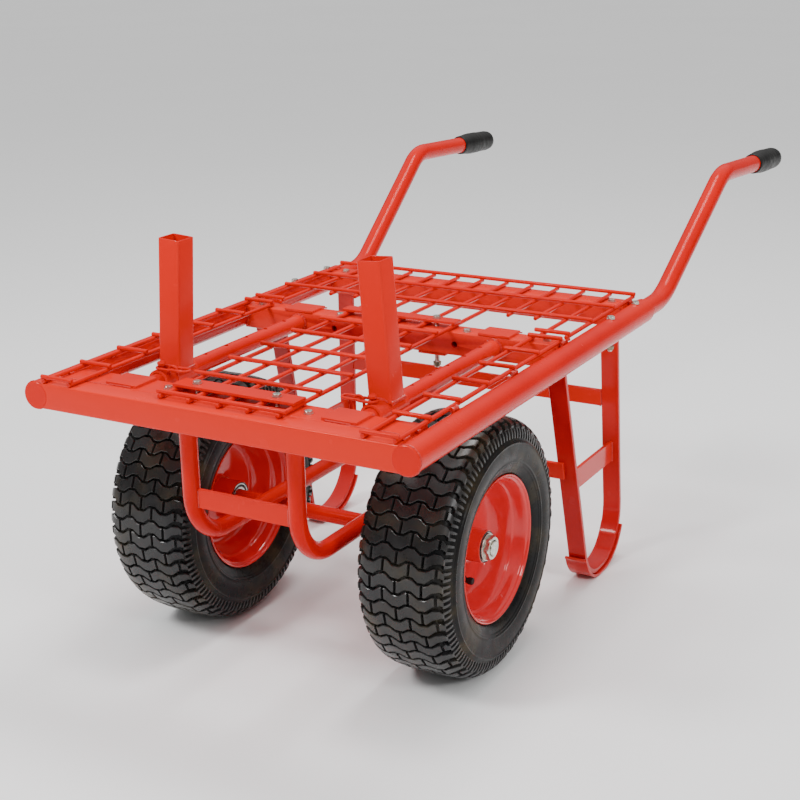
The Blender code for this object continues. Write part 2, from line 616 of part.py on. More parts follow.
# ---------------------------------------------------------------- chains
def add_link(bm, centre, along, up, length, width, wire, steps=10, sides=5):
    """One oval chain link lying in the plane of along and up."""
    along, up = Vector(along).normalized(), Vector(up).normalized()
    out = along.cross(up).normalized()
    up = out.cross(along)
    r = width / 2
    straight = length / 2 - r
    rings = []
    for i in range(steps):
        a = 2 * math.pi * (i + 0.5) / steps
        c, q = math.cos(a), math.sin(a)
        base = along * (math.copysign(straight, c) + r * c) + up * r * q
        outward = along * c + up * q
        rings.append([bm.verts.new(Vector(centre) + Vector((0, FRONT, 0)) + base
                                   + (outward * math.cos(b) + out * math.sin(b)) * wire)
                      for b in (2 * math.pi * j / sides for j in range(sides))])
    for i in range(steps):
        a, b = rings[i], rings[(i + 1) % steps]
        for j in range(sides):
            k = (j + 1) % sides
            bm.faces.new((a[j], a[k], b[k], b[j]))


for n, s in SIDES:
    # two links lie across the foot of the post and the third hangs from their end;
    # each is joined to the next where they bear on each other
    wire, length, width = 0.0022, 0.0300, 0.0160
    pitch = length - 2 * wire + 0.0004
    inward, up, back = (-s, 0, 0), (0, 0, 1), (0, 1, 0)
    across = 0.0010 + pitch
    places = ((0.0010, 0.1475, 0.0298, inward, up), (across, 0.1445, 0.0290, inward, back),
              (across + length / 2, 0.1445, 0.0290 + wire * 1.8 - length / 2, up, inward))
    shapes = []
    for i, (u, y, z, along, side) in enumerate(places):
        bm = bmesh.new()
        add_link(bm, (s * (RAIL_X - u), y, RAIL_Z + z), along, side, length, width, wire)
        shapes.append(link(("post_chain_" if i == 0 else "join_link%d_" % i) + n, bm,
                           BODY if i == 0 else TOOLS))
    chain = shapes[0]
    boolean(chain, shapes[1:], "UNION")
    finish(chain, RED, 0.4)
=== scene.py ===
"""Looks for the flat-deck barrow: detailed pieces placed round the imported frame."""
import bisect
import math
import random

import bmesh
import bpy
from mathutils import Matrix, Vector, noise


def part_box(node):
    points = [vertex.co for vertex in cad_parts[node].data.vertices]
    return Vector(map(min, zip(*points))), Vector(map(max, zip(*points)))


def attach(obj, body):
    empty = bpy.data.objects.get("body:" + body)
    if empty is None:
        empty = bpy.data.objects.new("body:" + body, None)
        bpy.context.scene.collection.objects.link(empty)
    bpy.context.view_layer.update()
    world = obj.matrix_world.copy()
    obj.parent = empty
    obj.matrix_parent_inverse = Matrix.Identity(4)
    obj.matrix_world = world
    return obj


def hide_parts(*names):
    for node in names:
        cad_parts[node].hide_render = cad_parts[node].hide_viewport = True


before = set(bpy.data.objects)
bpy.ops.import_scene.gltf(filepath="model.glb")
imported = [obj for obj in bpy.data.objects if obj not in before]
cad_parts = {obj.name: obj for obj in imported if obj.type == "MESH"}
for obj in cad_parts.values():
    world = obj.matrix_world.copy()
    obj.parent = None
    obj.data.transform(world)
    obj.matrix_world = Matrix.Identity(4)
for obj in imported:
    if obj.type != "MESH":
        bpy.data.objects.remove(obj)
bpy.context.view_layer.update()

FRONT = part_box("front_bar")[0].y    # y of the deck's front face
SIDES = (("left", -1), ("right", 1))

# The sizes the CAD pieces were drawn to, in metres. y is measured from the front face.
TUBE_X, TUBE_Z, TUBE_R, TUBE_END = 0.313, 0.4513, 0.0212, 0.851    # side tubes
HANDLE_R = 0.01685
BAR_Z0, BAR_Z1 = 0.4313, 0.4713    # crossbars, low and high
FRONT_BAR_Y, MIDDLE_BAR_Y, REAR_BAR_Y = (0.0008, 0.040), (0.517, 0.557), (0.795, 0.840)
LEDGE_TOP, LEDGE_END = 0.4706, 0.2960
RAIL_X, RAIL_Z, RAIL_R = 0.186, 0.4533, 0.01345
HOLE_COUNT, HOLE_PITCH, HOLE_FIRST, HOLE_R = 7, 0.0555, 0.137, 0.0036
ROD_R = 0.0035    # deck wires
LONG_Z, CROSS_Z = 0.4752, 0.4810
MESH_PITCH, MESH_OFFSET = 0.050, 0.004
LADDER_X, LADDER_PITCH = (0.2485, 0.2965), 0.0866    # narrow side strips
CLAMP_Z = LONG_Z + ROD_R + 0.0004
CLAMP_TOP = CLAMP_Z + 0.0052
WHEEL = Vector((0.2278, 0.3145, 0.203))
WHEEL_R = 0.203
AXLE_R = 0.0125
UNDER_X, UNDER_Y, UNDER_Z, UNDER_END = 0.093, 0.075, 0.2295, 0.6050
TIE_Z = 0.2890
LEG_X, LEG_TOP, LEG_LOW, LEG_SPLAY = 0.269, 0.4308, 0.0104, 0.012
LEG_HALF, SHOE_HALF = 0.016, 0.020
BRACE_Z = (0.1785, 0.2165)
POST_Y, POST_HALF, POST_TOP, POST_LEAN = 0.175, 0.019, 0.6680, math.radians(4.0)
PIN_Y = 0.137


# ---- materials
class Nodes:
    """Small helper for building a material's node tree."""

    def __init__(self, name, rough, metal=0.0, **sockets):
        self.mat = bpy.data.materials.new(name)
        self.mat.use_nodes = True
        self.tree = self.mat.node_tree
        self.shader = self.tree.nodes["Principled BSDF"]
        self.shader.inputs["Roughness"].default_value = rough
        self.shader.inputs["Metallic"].default_value = metal
        for key, value in sockets.items():
            self.shader.inputs[key.replace("_", " ")].default_value = value
        self.coord = self.tree.nodes.new("ShaderNodeTexCoord").outputs["Object"]

    def link(self, a, b):
        self.tree.links.new(a, b)

    def noise(self, scale, detail=4.0, rough=0.55):
        n = self.tree.nodes.new("ShaderNodeTexNoise")
        n.inputs["Scale"].default_value = scale
        n.inputs["Detail"].default_value = detail
        n.inputs["Roughness"].default_value = rough
        self.link(self.coord, n.inputs["Vector"])
        return n.outputs["Fac"]

    def ramp(self, fac, stops):
        """Colours at (position, colour) stops along fac."""
        r = self.tree.nodes.new("ShaderNodeValToRGB")
        e = r.color_ramp.elements
        while len(e) < len(stops):
            e.new(0.5)
        for slot, (pos, colour) in zip(e, stops):
            slot.position = pos
            slot.color = (*colour, 1.0)
        self.link(fac, r.inputs["Fac"])
        return r.outputs["Color"]

    def grey(self, fac, low, high, start=0.3, end=0.7):
        """A value that goes from low to high as fac goes from start to end."""
        m = self.tree.nodes.new("ShaderNodeMapRange")
        limits = {"From Min": start, "From Max": end, "To Min": low, "To Max": high}
        for key, value in limits.items():
            m.inputs[key].default_value = value
        self.link(fac, m.inputs["Value"])
        return m.outputs["Result"]

    def mix(self, fac, base, colour):
        """base with a plain colour laid over it where fac is high."""
        m = self.tree.nodes.new("ShaderNodeMix")
        m.data_type = "RGBA"
        self.link(fac, m.inputs["Factor"])
        self.link(base, m.inputs["A"])
        m.inputs["B"].default_value = (*colour, 1.0)
        return m.outputs["Result"]

    def finish(self, colour, rough, *bumps):
        """Connect the colour, the roughness and (height, strength, distance) bumps."""
        self.link(colour, self.shader.inputs["Base Color"])
        self.link(rough, self.shader.inputs["Roughness"])
        normal = None
        for height, strength, distance in bumps:
            b = self.tree.nodes.new("ShaderNodeBump")
            b.inputs["Strength"].default_value = strength
            b.inputs["Distance"].default_value = distance
            self.link(height, b.inputs["Height"])
            if normal:
                self.link(normal, b.inputs["Normal"])
            normal = b.outputs["Normal"]
        self.link(normal, self.shader.inputs["Normal"])
        return self.mat

    def edges(self, start=0.52, end=0.60):
        """0 on flat metal, 1 on sharp outside edges."""
        g = self.tree.nodes.new("ShaderNodeNewGeometry")
        return self.grey(g.outputs["Pointiness"], 0.0, 1.0, start, end)


def red_paint(name, light=(0.62, 0.0042, 0.0016), dark=(0.54, 0.0030, 0.0012),
              rough=(0.20, 0.28), coat=0.08):
    """Powder coat: soft patches of two reds, a fine speckle and brighter worn edges."""
    m = Nodes(name, 0.30, IOR=1.28, Specular_Tint=(1.0, 0.28, 0.22, 1.0),
              Coat_Weight=coat, Coat_Roughness=0.07, Coat_IOR=1.42)
    broad = m.noise(9.0, 5.0)
    fine = m.noise(260.0, 2.0)
    base = m.ramp(broad, ((0.30, dark), (0.62, light)))
    base = m.mix(m.grey(fine, 0.0, 0.22, 0.45, 0.75), base, (0.66, 0.0065, 0.0026))
    edge = m.mix(m.edges(), base, (0.72, 0.022, 0.010))
    return m.finish(edge, m.grey(m.noise(24.0, 3.0), *rough),
                    (m.noise(240.0, 1.0), 0.03, 0.0003))


def weld_paint(name):
    """The same paint over the rough surface of a weld."""
    m = Nodes(name, 0.38, Coat_Weight=0.15, Coat_Roughness=0.18, Specular_IOR_Level=0.4)
    base = m.ramp(m.noise(220.0, 4.0), ((0.30, (0.40, 0.006, 0.004)),
                                        (0.60, (0.62, 0.014, 0.006)),
                                        (0.80, (0.78, 0.050, 0.028))))
    return m.finish(base, m.grey(m.noise(180.0, 4.0), 0.25, 0.5),
                    (m.noise(520.0, 4.0), 0.35, 0.0006))


def tyre_rubber(name, dusty, ior):
    """Black rubber with brown dirt in patches, a little dust and greyer worn edges."""
    m = Nodes(name, 0.46, IOR=ior)
    broad = m.noise(14.0, 6.0, 0.6)
    fine = m.noise(420.0, 3.0)
    base = m.ramp(broad, ((0.32, (0.0060, 0.0066, 0.0088)),
                          (0.50, (0.0105, 0.0096, 0.0086)),
                          (0.66, (0.0400, 0.0300, 0.0150))))
    dust = m.mix(m.grey(fine, 0.0, dusty * 0.5, 0.5, 0.8), base, (0.030, 0.025, 0.018))
    worn = m.mix(m.grey(m.edges(0.54, 0.62), 0.0, 0.5, 0.0, 1.0), dust, (0.045, 0.043, 0.043))
    return m.finish(worn, m.grey(m.noise(55.0, 5.0), 0.20, 0.40), (fine, 0.12, 0.0004),
                    (m.noise(90.0, 4.0), 0.10, 0.0008))


def grip_rubber(name):
    """Moulded black rubber with a fine grain."""
    m = Nodes(name, 0.48, IOR=1.35)
    base = m.ramp(m.noise(30.0, 5.0), ((0.30, (0.005, 0.005, 0.005)),
                                       (0.70, (0.014, 0.013, 0.012))))
    return m.finish(base, m.grey(m.noise(120.0, 4.0), 0.34, 0.58),
                    (m.noise(900.0, 2.0), 0.14, 0.0003), (m.noise(160.0, 3.0), 0.08, 0.0006))


def zinc(name, tint=(0.74, 0.74, 0.66), rough=(0.22, 0.46)):
    """Plated steel with dull patches and yellow stains."""
    m = Nodes(name, 0.32, metal=1.0)
    dark = tuple(c * 0.66 for c in tint)
    base = m.ramp(m.noise(140.0, 6.0, 0.7), ((0.32, dark), (0.62, tint)))
    stain = m.mix(m.grey(m.noise(46.0, 4.0), 0.0, 0.35, 0.55, 0.75), base, (0.46, 0.42, 0.28))
    return m.finish(stain, m.grey(m.noise(210.0, 5.0), *rough),
                    (m.noise(700.0, 3.0), 0.15, 0.0003))


RED = red_paint("red_powder_coat")
RED_WIRE = red_paint("red_powder_coat_wire", (0.64, 0.0060, 0.0022), (0.55, 0.0040, 0.0016))
# A darker copy of the red for the legs, their shoes, braces and ties, which stand in shade under
# the deck: painted shade.
RED_STRAP_PAINTED_SHADE = red_paint("red_powder_coat_strap_painted_shade", (0.50, 0.0100, 0.0110), (0.42, 0.0070, 0.0080),
                      (0.18, 0.28), 0.35)
# A still darker copy of the red for the middle and rear crossbars, which lie in shade under the
# deck wires: painted shade.
RED_PAINTED_SHADE = red_paint("red_powder_coat_painted_shade", (0.38, 0.0080, 0.0088), (0.32, 0.0065, 0.0072),
                     (0.22, 0.34))
RED_RIM = red_paint("red_powder_coat_rim", (0.72, 0.0200, 0.0240), (0.64, 0.0150, 0.0180),
                    (0.10, 0.18), 1.0)
WELD = weld_paint("painted_weld")
TYRE = tyre_rubber("tyre_rubber", 0.45, 1.42)
SIDEWALL = tyre_rubber("tyre_sidewall", 0.25, 1.22)
GRIP = grip_rubber("grip_rubber")
ZINC = zinc("zinc_fastener")
WORN = zinc("worn_zinc", (0.30, 0.27, 0.18), (0.34, 0.55))
STEEL = zinc("bearing_steel", (0.64, 0.64, 0.62), (0.18, 0.36))
VALVE = grip_rubber("valve_rubber")


# ---- mesh helpers
def shift(p):
    """A point measured from the deck's front face, in the CAD's frame."""
    return Vector((p[0], p[1] + FRONT, p[2]))


def turns(count):
    """The angles of count even steps round a circle."""
    return [2 * math.pi * j / count for j in range(count)]


def circle(centre, radius, count, plane):
    """count points round centre, in the xy, xz or yz plane."""
    x, y, z = centre
    points = []
    for a in turns(count):
        u, v = radius * math.cos(a), radius * math.sin(a)
        points.append({"xy": (x + u, y + v, z), "xz": (x + u, y, z + v),
                       "yz": (x, y + u, z + v)}[plane])
    return points


def run(start, step, count):
    """count points from start, each one step on from the last."""
    return [tuple(a + b * j for a, b in zip(start, step)) for j in range(count)]


def add(name, bm, mat, nodes=(), body="frame", smooth=35.0, bevel=0.0,
        segments=2):
    """Turn bm into a finished piece that rides on body and stands for the CAD nodes."""
    bmesh.ops.recalc_face_normals(bm, faces=bm.faces)
    me = bpy.data.meshes.new(name)
    bm.to_mesh(me)
    bm.free()
    me.materials.append(mat)
    ob = bpy.data.objects.new(name, me)
    bpy.context.scene.collection.objects.link(ob)
    if bevel:
        b = ob.modifiers.new("edges", "BEVEL")
        b.width = bevel
        b.segments = segments
        b.limit_method = "ANGLE"
        b.angle_limit = math.radians(40)
    me.shade_smooth()
    me.set_sharp_from_angle(angle=math.radians(smooth))
    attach(ob, body)
    if nodes:
        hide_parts(*nodes)
    return ob


def box(bm, x0, x1, y0, y1, z0, z1):
    """A block between two values of x, of y and of z."""
    for v in bmesh.ops.create_cube(bm, size=1.0)["verts"]:
        v.co = shift((x0 + (v.co.x + 0.5) * (x1 - x0), y0 + (v.co.y + 0.5) * (y1 - y0),
                      z0 + (v.co.z + 0.5) * (z1 - z0)))


def plate(name, node, size, mat=RED, bevel=0.0008, segments=2):
    """A piece of flat stock with broken edges; size is as in box."""
    bm = bmesh.new()
    box(bm, *size)
    add(name, bm, mat, [node] if node else [], bevel=bevel, segments=segments)


def frame_at(direction, hint=(0, 0, 1)):
    """Two unit vectors square to direction and to each other."""
    d = Vector(direction).normalized()
    side = d.cross(Vector(hint))
    if side.length < 1e-4:
        side = d.cross(Vector((1, 0, 0)))
    side.normalize()
    return side, side.cross(d)


def frame_of_axis(axis):
    """The same for a turned shape, whose axis may stand upright."""
    d = Vector(axis).normalized()
    return (d, *frame_at(d, (0, 0, 1) if abs(d.z) < 0.9 else (1, 0, 0)))


def skin(bm, rings, closed=False, caps=True):
    """Join rings of points into a tube of faces."""
    made = [[bm.verts.new(p) for p in ring] for ring in rings]
    n = len(made[0])
    pairs = list(zip(made, made[1:])) + ([(made[-1], made[0])] if closed else [])
    for a, b in pairs:
        for i in range(n):
            j = (i + 1) % n
            bm.faces.new((a[i], a[j], b[j], b[i]))
    if caps and not closed:
        bm.faces.new(made[0][::-1])
        bm.faces.new(made[-1])


def tube(bm, points, radius, sides=20, closed=False, round_end=0.0, radii=None):
    """A round bar along points, with ends rounded over by round_end."""
    pts = [Vector(p) for p in points]
    rad = list(radii) if radii else [radius] * len(pts)
    if round_end:
        steps = 4
        for _ in range(2):    # turned round each time, so that both ends are done
            pts.reverse()
            rad.reverse()
            end = pts.pop()
            rad[-1] = radius
            out = (end - pts[-1]).normalized()
            pts.append(end - out * round_end)
            for k in range(1, steps + 1):
                a = math.pi / 2 * k / steps
                pts.append(end - out * round_end * (1 - math.sin(a)))
                rad.append(max(radius - round_end * (1 - math.cos(a)), radius * 0.05))
    n = len(pts)
    side, up = None, None
    rings = []
    for i, p in enumerate(pts):
        before = pts[i - 1] if (i or closed) else p
        after = pts[(i + 1) % n] if (i < n - 1 or closed) else p
        d = (after - before).normalized()
        if side is None:
            side, up = frame_at(d)
        else:
            side = (side - d * side.dot(d)).normalized()
            up = side.cross(d)
        rings.append([shift(p + (side * math.cos(a) + up * math.sin(a)) * rad[i])
                      for a in turns(sides)])
    skin(bm, rings, closed=closed)


def lathe(bm, origin, axis, profile, sides=48, closed=False):
    """Turn (along, radius) pairs about axis through origin."""
    d, side, up = frame_of_axis(axis)
    o = Vector(origin)
    skin(bm, [[shift(o + d * t + (side * math.cos(a) + up * math.sin(a)) * r)
               for a in turns(sides)] for t, r in profile], closed=closed)


def arc_corner(a, corner, b, radius, steps):
    """Points on the arc that rounds the corner between a and b."""
    a, corner, b = Vector(a), Vector(corner), Vector(b)
    u, v = (a - corner).normalized(), (b - corner).normalized()
    half = u.angle(v) / 2
    cut = radius / math.tan(half)
    centre = corner + (u + v).normalized() * (radius / math.sin(half))
    p, q = corner + u * cut - centre, corner + v * cut - centre
    total = p.angle(q)
    return [centre + (p * math.sin((1 - t) * total) + q * math.sin(t * total)) / math.sin(total)
            for t in (i / steps for i in range(steps + 1))]


def bead(bm, points, radius=0.0022, closed=False, seed=0):
    """A run of weld: a tube whose thickness ripples the way laid metal does."""
    pts = [Vector(p) for p in points]
    if closed:
        pts.append(pts[0])
    path, step = [], 0.0012
    for a, b in zip(pts, pts[1:]):
        n = max(1, int((b - a).length / step))
        path += [a.lerp(b, i / n) for i in range(n)]
    if not closed:
        path.append(pts[-1])
    offset = Vector((seed, 0, 0))
    radii = [radius * (1.0 + 0.16 * math.sin(i * 1.9) + 0.35 * noise.noise(p * 160 + offset))
             for i, p in enumerate(path)]
    tube(bm, path, radius, 8, closed=closed, radii=radii)


def ribbon(bm, path, thickness, x0, x1, lean=None):
    """A flat strap from x0 to x1 along (y, z) points, moved sideways by lean(z)."""
    rings = []
    for i, p in enumerate(path):
        before, after = path[max(i - 1, 0)], path[min(i + 1, len(path) - 1)]
        along = (Vector(after) - Vector(before)).normalized()
        side = Vector((-along.y, along.x)) * thickness / 2
        ring = []
        for x, k in ((x0, -1), (x1, -1), (x1, 1), (x0, 1)):
            y, z = Vector(p) + side * k
            ring.append(shift((x + (lean(z) if lean else 0.0), y, z)))
        rings.append(ring)
    skin(bm, rings)


def hexed_rings(origin, axes, layers, sides):
    """Rings for (along, radius, is it a hexagon) layers; a hexagon's radius is its corner's."""
    d, side, up = axes
    rings = []
    for t, r, hexed in layers:
        ring = []
        for a in turns(sides):
            from_flat = math.fmod(a, math.pi / 3) - math.pi / 6
            k = math.cos(math.pi / 6) / math.cos(from_flat) if hexed else 1.0
            ring.append(shift(origin + d * t + (side * math.cos(a) + up * math.sin(a)) * r * k))
        rings.append(ring)
    return rings


def hexagon_head(bm, at, axis, height=0.0046):
    """Hexagon with rounded top corners on a washer face."""
    across, collar = 0.0110, 0.0068
    corner = across / math.sqrt(3)
    layers = ((0.0, collar, False), (0.0011, collar, False), (0.0011, corner, True),
              (height - 0.0007, corner, True), (height, corner * 0.86, False),
              (height, corner * 0.5, False))
    skin(bm, hexed_rings(Vector(at), frame_of_axis(axis), layers, 24))


# ---- deck frame
def side_tubes():
    for n, s in SIDES:
        centre = (s * TUBE_X, 0, TUBE_Z)
        bm = bmesh.new()
        lathe(bm, centre, (0, 1, 0),
              [(0.0030, TUBE_R - 0.0009), (0.0038, TUBE_R), (0.30, TUBE_R), (0.60, TUBE_R),
               (TUBE_END - 0.0012, TUBE_R), (TUBE_END, TUBE_R - 0.0009),
               (TUBE_END, TUBE_R - 0.0030), (TUBE_END - 0.006, TUBE_R - 0.0036)], 64)
        add("side_tube_skin_" + n, bm, RED, ["side_tube_" + n])

        # round end plate with its weld line
        bm = bmesh.new()
        lathe(bm, centre, (0, 1, 0),
              [(0.0, TUBE_R - 0.0010), (0.0008, TUBE_R), (0.0032, TUBE_R)], 56)
        add("end_plate_cover_" + n, bm, RED, ["end_plate_" + n])
        bm = bmesh.new()
        r = TUBE_R - 0.0001
        bead(bm, [(s * (TUBE_X + r * math.cos(a)), 0.0036, TUBE_Z + r * math.sin(a))
                  for a in turns(40)], 0.0013, closed=True, seed=s)
        add("end_plate_weld_" + n, bm, WELD)


def crossbar(name, y0, y1, half, node, paint):
    """A bar across the deck, with its long edges rounded."""
    bm = bmesh.new()
    box(bm, -half, half, y0, y1, BAR_Z0, BAR_Z1)
    edges = [e for e in bm.edges if abs(e.verts[0].co.x - e.verts[1].co.x) > 0.1]
    bmesh.ops.bevel(bm, geom=edges, offset=0.0032, segments=4, affect="EDGES", profile=0.5)
    return add(name, bm, paint, [node])


def saddle_plate(bm, x, y0, y1, under):
    """A raised plate over a rail, on the face at height under."""
    half, thick = 0.028, 0.0044
    box(bm, x - half, x + half, y0, y1, under - 0.0005, under + thick)


def deck_frame():
    side_tubes()
    crossbar("front_bar_skin", *FRONT_BAR_Y, 0.3010, "front_bar", RED)
    # The middle and rear bars take the darker red, a painted shade under the deck wires.
    bar = crossbar("middle_bar_skin", *MIDDLE_BAR_Y, 0.2980, "middle_crossbar", RED_PAINTED_SHADE)
    cut = bmesh.new()
    for x in (-0.115, 0.115):
        lathe(cut, (x, 0.500, 0.4500), (0, 1, 0), [(0.0, 0.0052), (0.0350, 0.0052)], 24)
    drill(bar, cut)
    crossbar("rear_bar_skin", *REAR_BAR_Y, 0.2980, "rear_crossbar", RED_PAINTED_SHADE)

    plate("ledge_top", "front_ledge", (-LEDGE_END, LEDGE_END, 0.0406, 0.0920, 0.4672, LEDGE_TOP))
    plate("ledge_web", None, (-LEDGE_END, LEDGE_END, 0.0888, 0.0918, 0.4410, 0.4674),
          bevel=0.0006)
    bm = bmesh.new()
    for n, s in SIDES:
        saddle_plate(bm, s * RAIL_X, 0.0440, 0.0925, LEDGE_TOP)
        saddle_plate(bm, s * RAIL_X, 0.5160, 0.5590, BAR_Z1)
    add("saddle_plates", bm, RED, bevel=0.0009)
    frame_welds()


def frame_welds():
    bm = bmesh.new()
    for i, (n, s) in enumerate(SIDES):
        x = s * RAIL_X
        # along the edges of the saddle plates
        for y in (0.0422, 0.0938):
            bead(bm, [(x + dx, y, LEDGE_TOP + 0.0010) for dx in (-0.020, 0.020)], 0.0013, seed=i)
        bead(bm, [(x + dx, 0.5605, BAR_Z1 + 0.0002) for dx in (-0.030, 0.030)], 0.0014,
             seed=i + 4)
        # round the rail where it meets the middle bar, and the bar ends against the side tubes
        bead(bm, circle((x, 0.5160, RAIL_Z), RAIL_R + 0.0004, 28, "xz"), 0.0026, closed=True,
             seed=i + 8)
        for k, y in enumerate((0.5170, 0.5570, 0.7950, 0.8400)):
            bead(bm, run((s * 0.2926, y, BAR_Z0 + 0.004), (0, 0, 0.0035), 10), 0.0020, seed=k)
        for k, y in ((0, 0.520), (2, 0.799)):
            bead(bm, run((s * 0.2945, y, BAR_Z1 - 0.001), (0, 0.004, 0), 9), 0.0022, seed=i + k)
    # two runs between the front bar and the ledge
    for x, seed in ((-0.280, 5), (0.200, 6)):
        bead(bm, run((x, 0.0412, 0.4704), (0.02, 0, 0), 5), 0.0012, seed=seed)
    add("frame_welds", bm, WELD)


# ---- rails
def rails():
    for n, s in SIDES:
        bm = bmesh.new()
        lathe(bm, (s * RAIL_X, 0, RAIL_Z), (0, 1, 0),
              [(y, RAIL_R) for y in (0.0402, 0.20, 0.36, 0.5168)], 48)
        rail = add("rail_skin_" + n, bm, RED, ["rail_" + n])
        cut = bmesh.new()
        for i in range(HOLE_COUNT):
            lathe(cut, (s * (RAIL_X - 0.0009), HOLE_FIRST + HOLE_PITCH * i, RAIL_Z + 0.006),
                  (0, 0, 1), [(-0.012, HOLE_R), (0.016, HOLE_R)], 20)
        drill(rail, cut)


def drill(ob, cut):
    """Cut the shapes in cut out of ob."""
    bmesh.ops.recalc_face_normals(cut, faces=cut.faces)
    me = bpy.data.meshes.new("holes")
    cut.to_mesh(me)
    cut.free()
    tool = bpy.data.objects.new("holes", me)
    bpy.context.scene.collection.objects.link(tool)
    m = ob.modifiers.new("holes", "BOOLEAN")
    m.solver, m.object = "EXACT", tool
    bpy.context.view_layer.update()
    graph = bpy.context.evaluated_depsgraph_get()
    me = bpy.data.meshes.new_from_object(ob.evaluated_get(graph))
    ob.modifiers.clear()
    ob.data = me
    me.set_sharp_from_angle(angle=math.radians(35))
    bpy.data.objects.remove(tool, do_unlink=True)


# ---- deck mesh
rng = random.Random(7)


def wire(bm, a, b):
    """One straight rod with rounded ends and a hair of bend."""
    a, b = Vector(a), Vector(b)
    n = max(3, int((b - a).length / 0.06))
    side, up = frame_at(b - a)
    bow = rng.uniform(-0.0005, 0.0005)
    pts = []
    for i in range(n + 1):
        t = i / n
        pts.append(a.lerp(b, t) + side * bow * math.sin(math.pi * t))
    tube(bm, pts, ROD_R, 14, round_end=0.0016)


def spot(welds, x, y):
    """The two weld marks where a cross wire lies on a long one."""
    for k in (-1, 1):
        bead(welds, [(x - 0.0022 * k, y + k * ROD_R * 0.9, LONG_Z + 0.0026),
                     (x + 0.0022 * k, y + k * ROD_R * 0.9, LONG_Z + 0.0028)], 0.0010,
             seed=x * 90 + y * 50)


def deck_wires(welds):
    """The T-shaped sheet: wires as (x, y from, y to), then as (y, x from, x to)."""
    bm = bmesh.new()
    longs = []
    for k in range(-5, 6):
        start = 0.018 if abs(k) <= 2 else 0.550 if abs(k) == 5 else 0.636
        longs.append((MESH_OFFSET + MESH_PITCH * k, start, 0.8460))
    longs += [(s * LADDER_X[1], 0.550, 0.8460) for s in (-1, 1)]
    crosses = [(0.025, -0.104, 0.116)]
    crosses += [(y, -0.112, 0.110) for y in (0.124, 0.2105, 0.297, 0.3835, 0.470)]
    crosses += [(y, -0.3005, 0.3015) for y in (0.649, 0.746, 0.842)]
    crosses += [(0.5560, *sorted((s * 0.2400, s * 0.3010))) for s in (-1, 1)]
    for x, a, b in longs:
        wire(bm, (x, a, LONG_Z), (x, b, LONG_Z))
    for y, a, b in crosses:
        wire(bm, (a, y, CROSS_Z), (b, y, CROSS_Z))
        for x, y0, y1 in longs:
            if a < x < b and y0 < y < y1:
                spot(welds, x, y)
    add("deck_mesh_wires", bm, RED_WIRE, ["deck_mesh"])


def side_wires(welds, n, s):
    """The ladder strip along one side tube, and the welds that hold the wires down."""
    bm = bmesh.new()
    for x in LADDER_X:
        wire(bm, (s * x, 0.0005, LONG_Z), (s * x, 0.533, LONG_Z))
    for i in range(7):
        y = 0.0045 + LADDER_PITCH * i
        a, b = sorted((s * 0.2430, s * 0.3020))
        wire(bm, (a, y, CROSS_Z), (b, y, CROSS_Z))
        for x in LADDER_X:
            spot(welds, s * x, y)
    add("side_mesh_wires_" + n, bm, RED_WIRE, ["side_mesh_" + n])
    for y in (0.160, 0.350, 0.528):
        bead(welds, run((s * 0.3005, y - 0.008, 0.4728), (0, 0.004, 0), 5), 0.0040,
             seed=y * 30 + s)
    for y in (0.022, 0.030, 0.060, 0.552, 0.820):
        bead(welds, run((s * LADDER_X[1] + 0.0030, y - 0.004, 0.4718), (0, 0.002, 0), 5), 0.0022,
             seed=y * 30)


def deck_mesh():
    welds = bmesh.new()
    deck_wires(welds)
    for n, s in SIDES:
        side_wires(welds, n, s)
    for k in range(-2, 3):
        for y in (0.030, 0.084):
            start = (MESH_OFFSET + MESH_PITCH * k + 0.0030, y - 0.003, 0.4722)
            bead(welds, run(start, (0, 0.002, 0), 4), 0.0016, seed=k + y * 9)
    add("mesh_welds", welds, WELD)

    strip_top = CLAMP_Z + 0.0050
    plate("front_strip", "clamp_strip_front",
          (-0.100, 0.108, 0.0550, 0.0870, CLAMP_Z, strip_top), bevel=0.0010, segments=3)
    plate("rear_strip", "clamp_strip_rear",
          (-0.104, 0.110, 0.5280, 0.5520, CLAMP_Z, strip_top), bevel=0.0010, segments=3)
    plate("lower_clamp", "clamp_plate_lower",
          (0.046, 0.096, 0.5200, 0.5600, 0.4270, BAR_Z0 - 0.0003))


# ---- bolts
def bolt(name, at, reach, nut=True, in_cad=True):
    """A bolt whose head stands on the point at and whose thread reaches down from there."""
    x, y, top = at
    bm = bmesh.new()
    hexagon_head(bm, at, (0, 0, 1))
    thread = [(0.0, 0.0039)]
    count = int(reach / 0.0009)
    for i in range(1, count):
        thread.append((reach * i / count, 0.0040 if i % 2 else 0.0036))
    thread.append((reach, 0.0034))
    lathe(bm, at, (0, 0, -1), thread, 16)
    add(name + "_set", bm, ZINC, [name] if in_cad else [])
    if nut:
        bm = bmesh.new()
        hexagon_head(bm, (x, y, top - reach + 0.0095), (0, 0, -1), height=0.0065)
        add(name + "_nut", bm, WORN)


def fasteners():
    short = 0.008
    for n, s in SIDES:
        left = s < 0
        for where, y, reach in (("front", 0.700, 0.0560), ("back", 0.812, 0.0300)):
            bolt("handle_bolt_%s_%s" % (n, where), (s * TUBE_X, y, TUBE_Z + TUBE_R + 0.0001),
                 reach, nut=where == "front")
        x = -0.066 if left else 0.071
        bolt("strip_bolt_" + n, (x, 0.069, CLAMP_TOP), 0.0300)
        bolt("clamp_bolt_" + n, (x, 0.540, CLAMP_TOP), 0.0840)
        bolt("rear_bolt_" + n, (s * 0.270, 0.812, BAR_Z1 + 0.0002), 0.0130)
        ledge_at = (-0.116, 0.066, LEDGE_TOP) if left else (0.128, 0.060, LEDGE_TOP)
        for name, at in (("bar_bolt_", (-0.108 if left else 0.133, 0.528, BAR_Z1)),
                         ("bar_end_bolt_", (s * 0.272, 0.534, BAR_Z1)),
                         ("ledge_bolt_", ledge_at)):
            bolt(name + n, at, short, nut=False, in_cad=False)


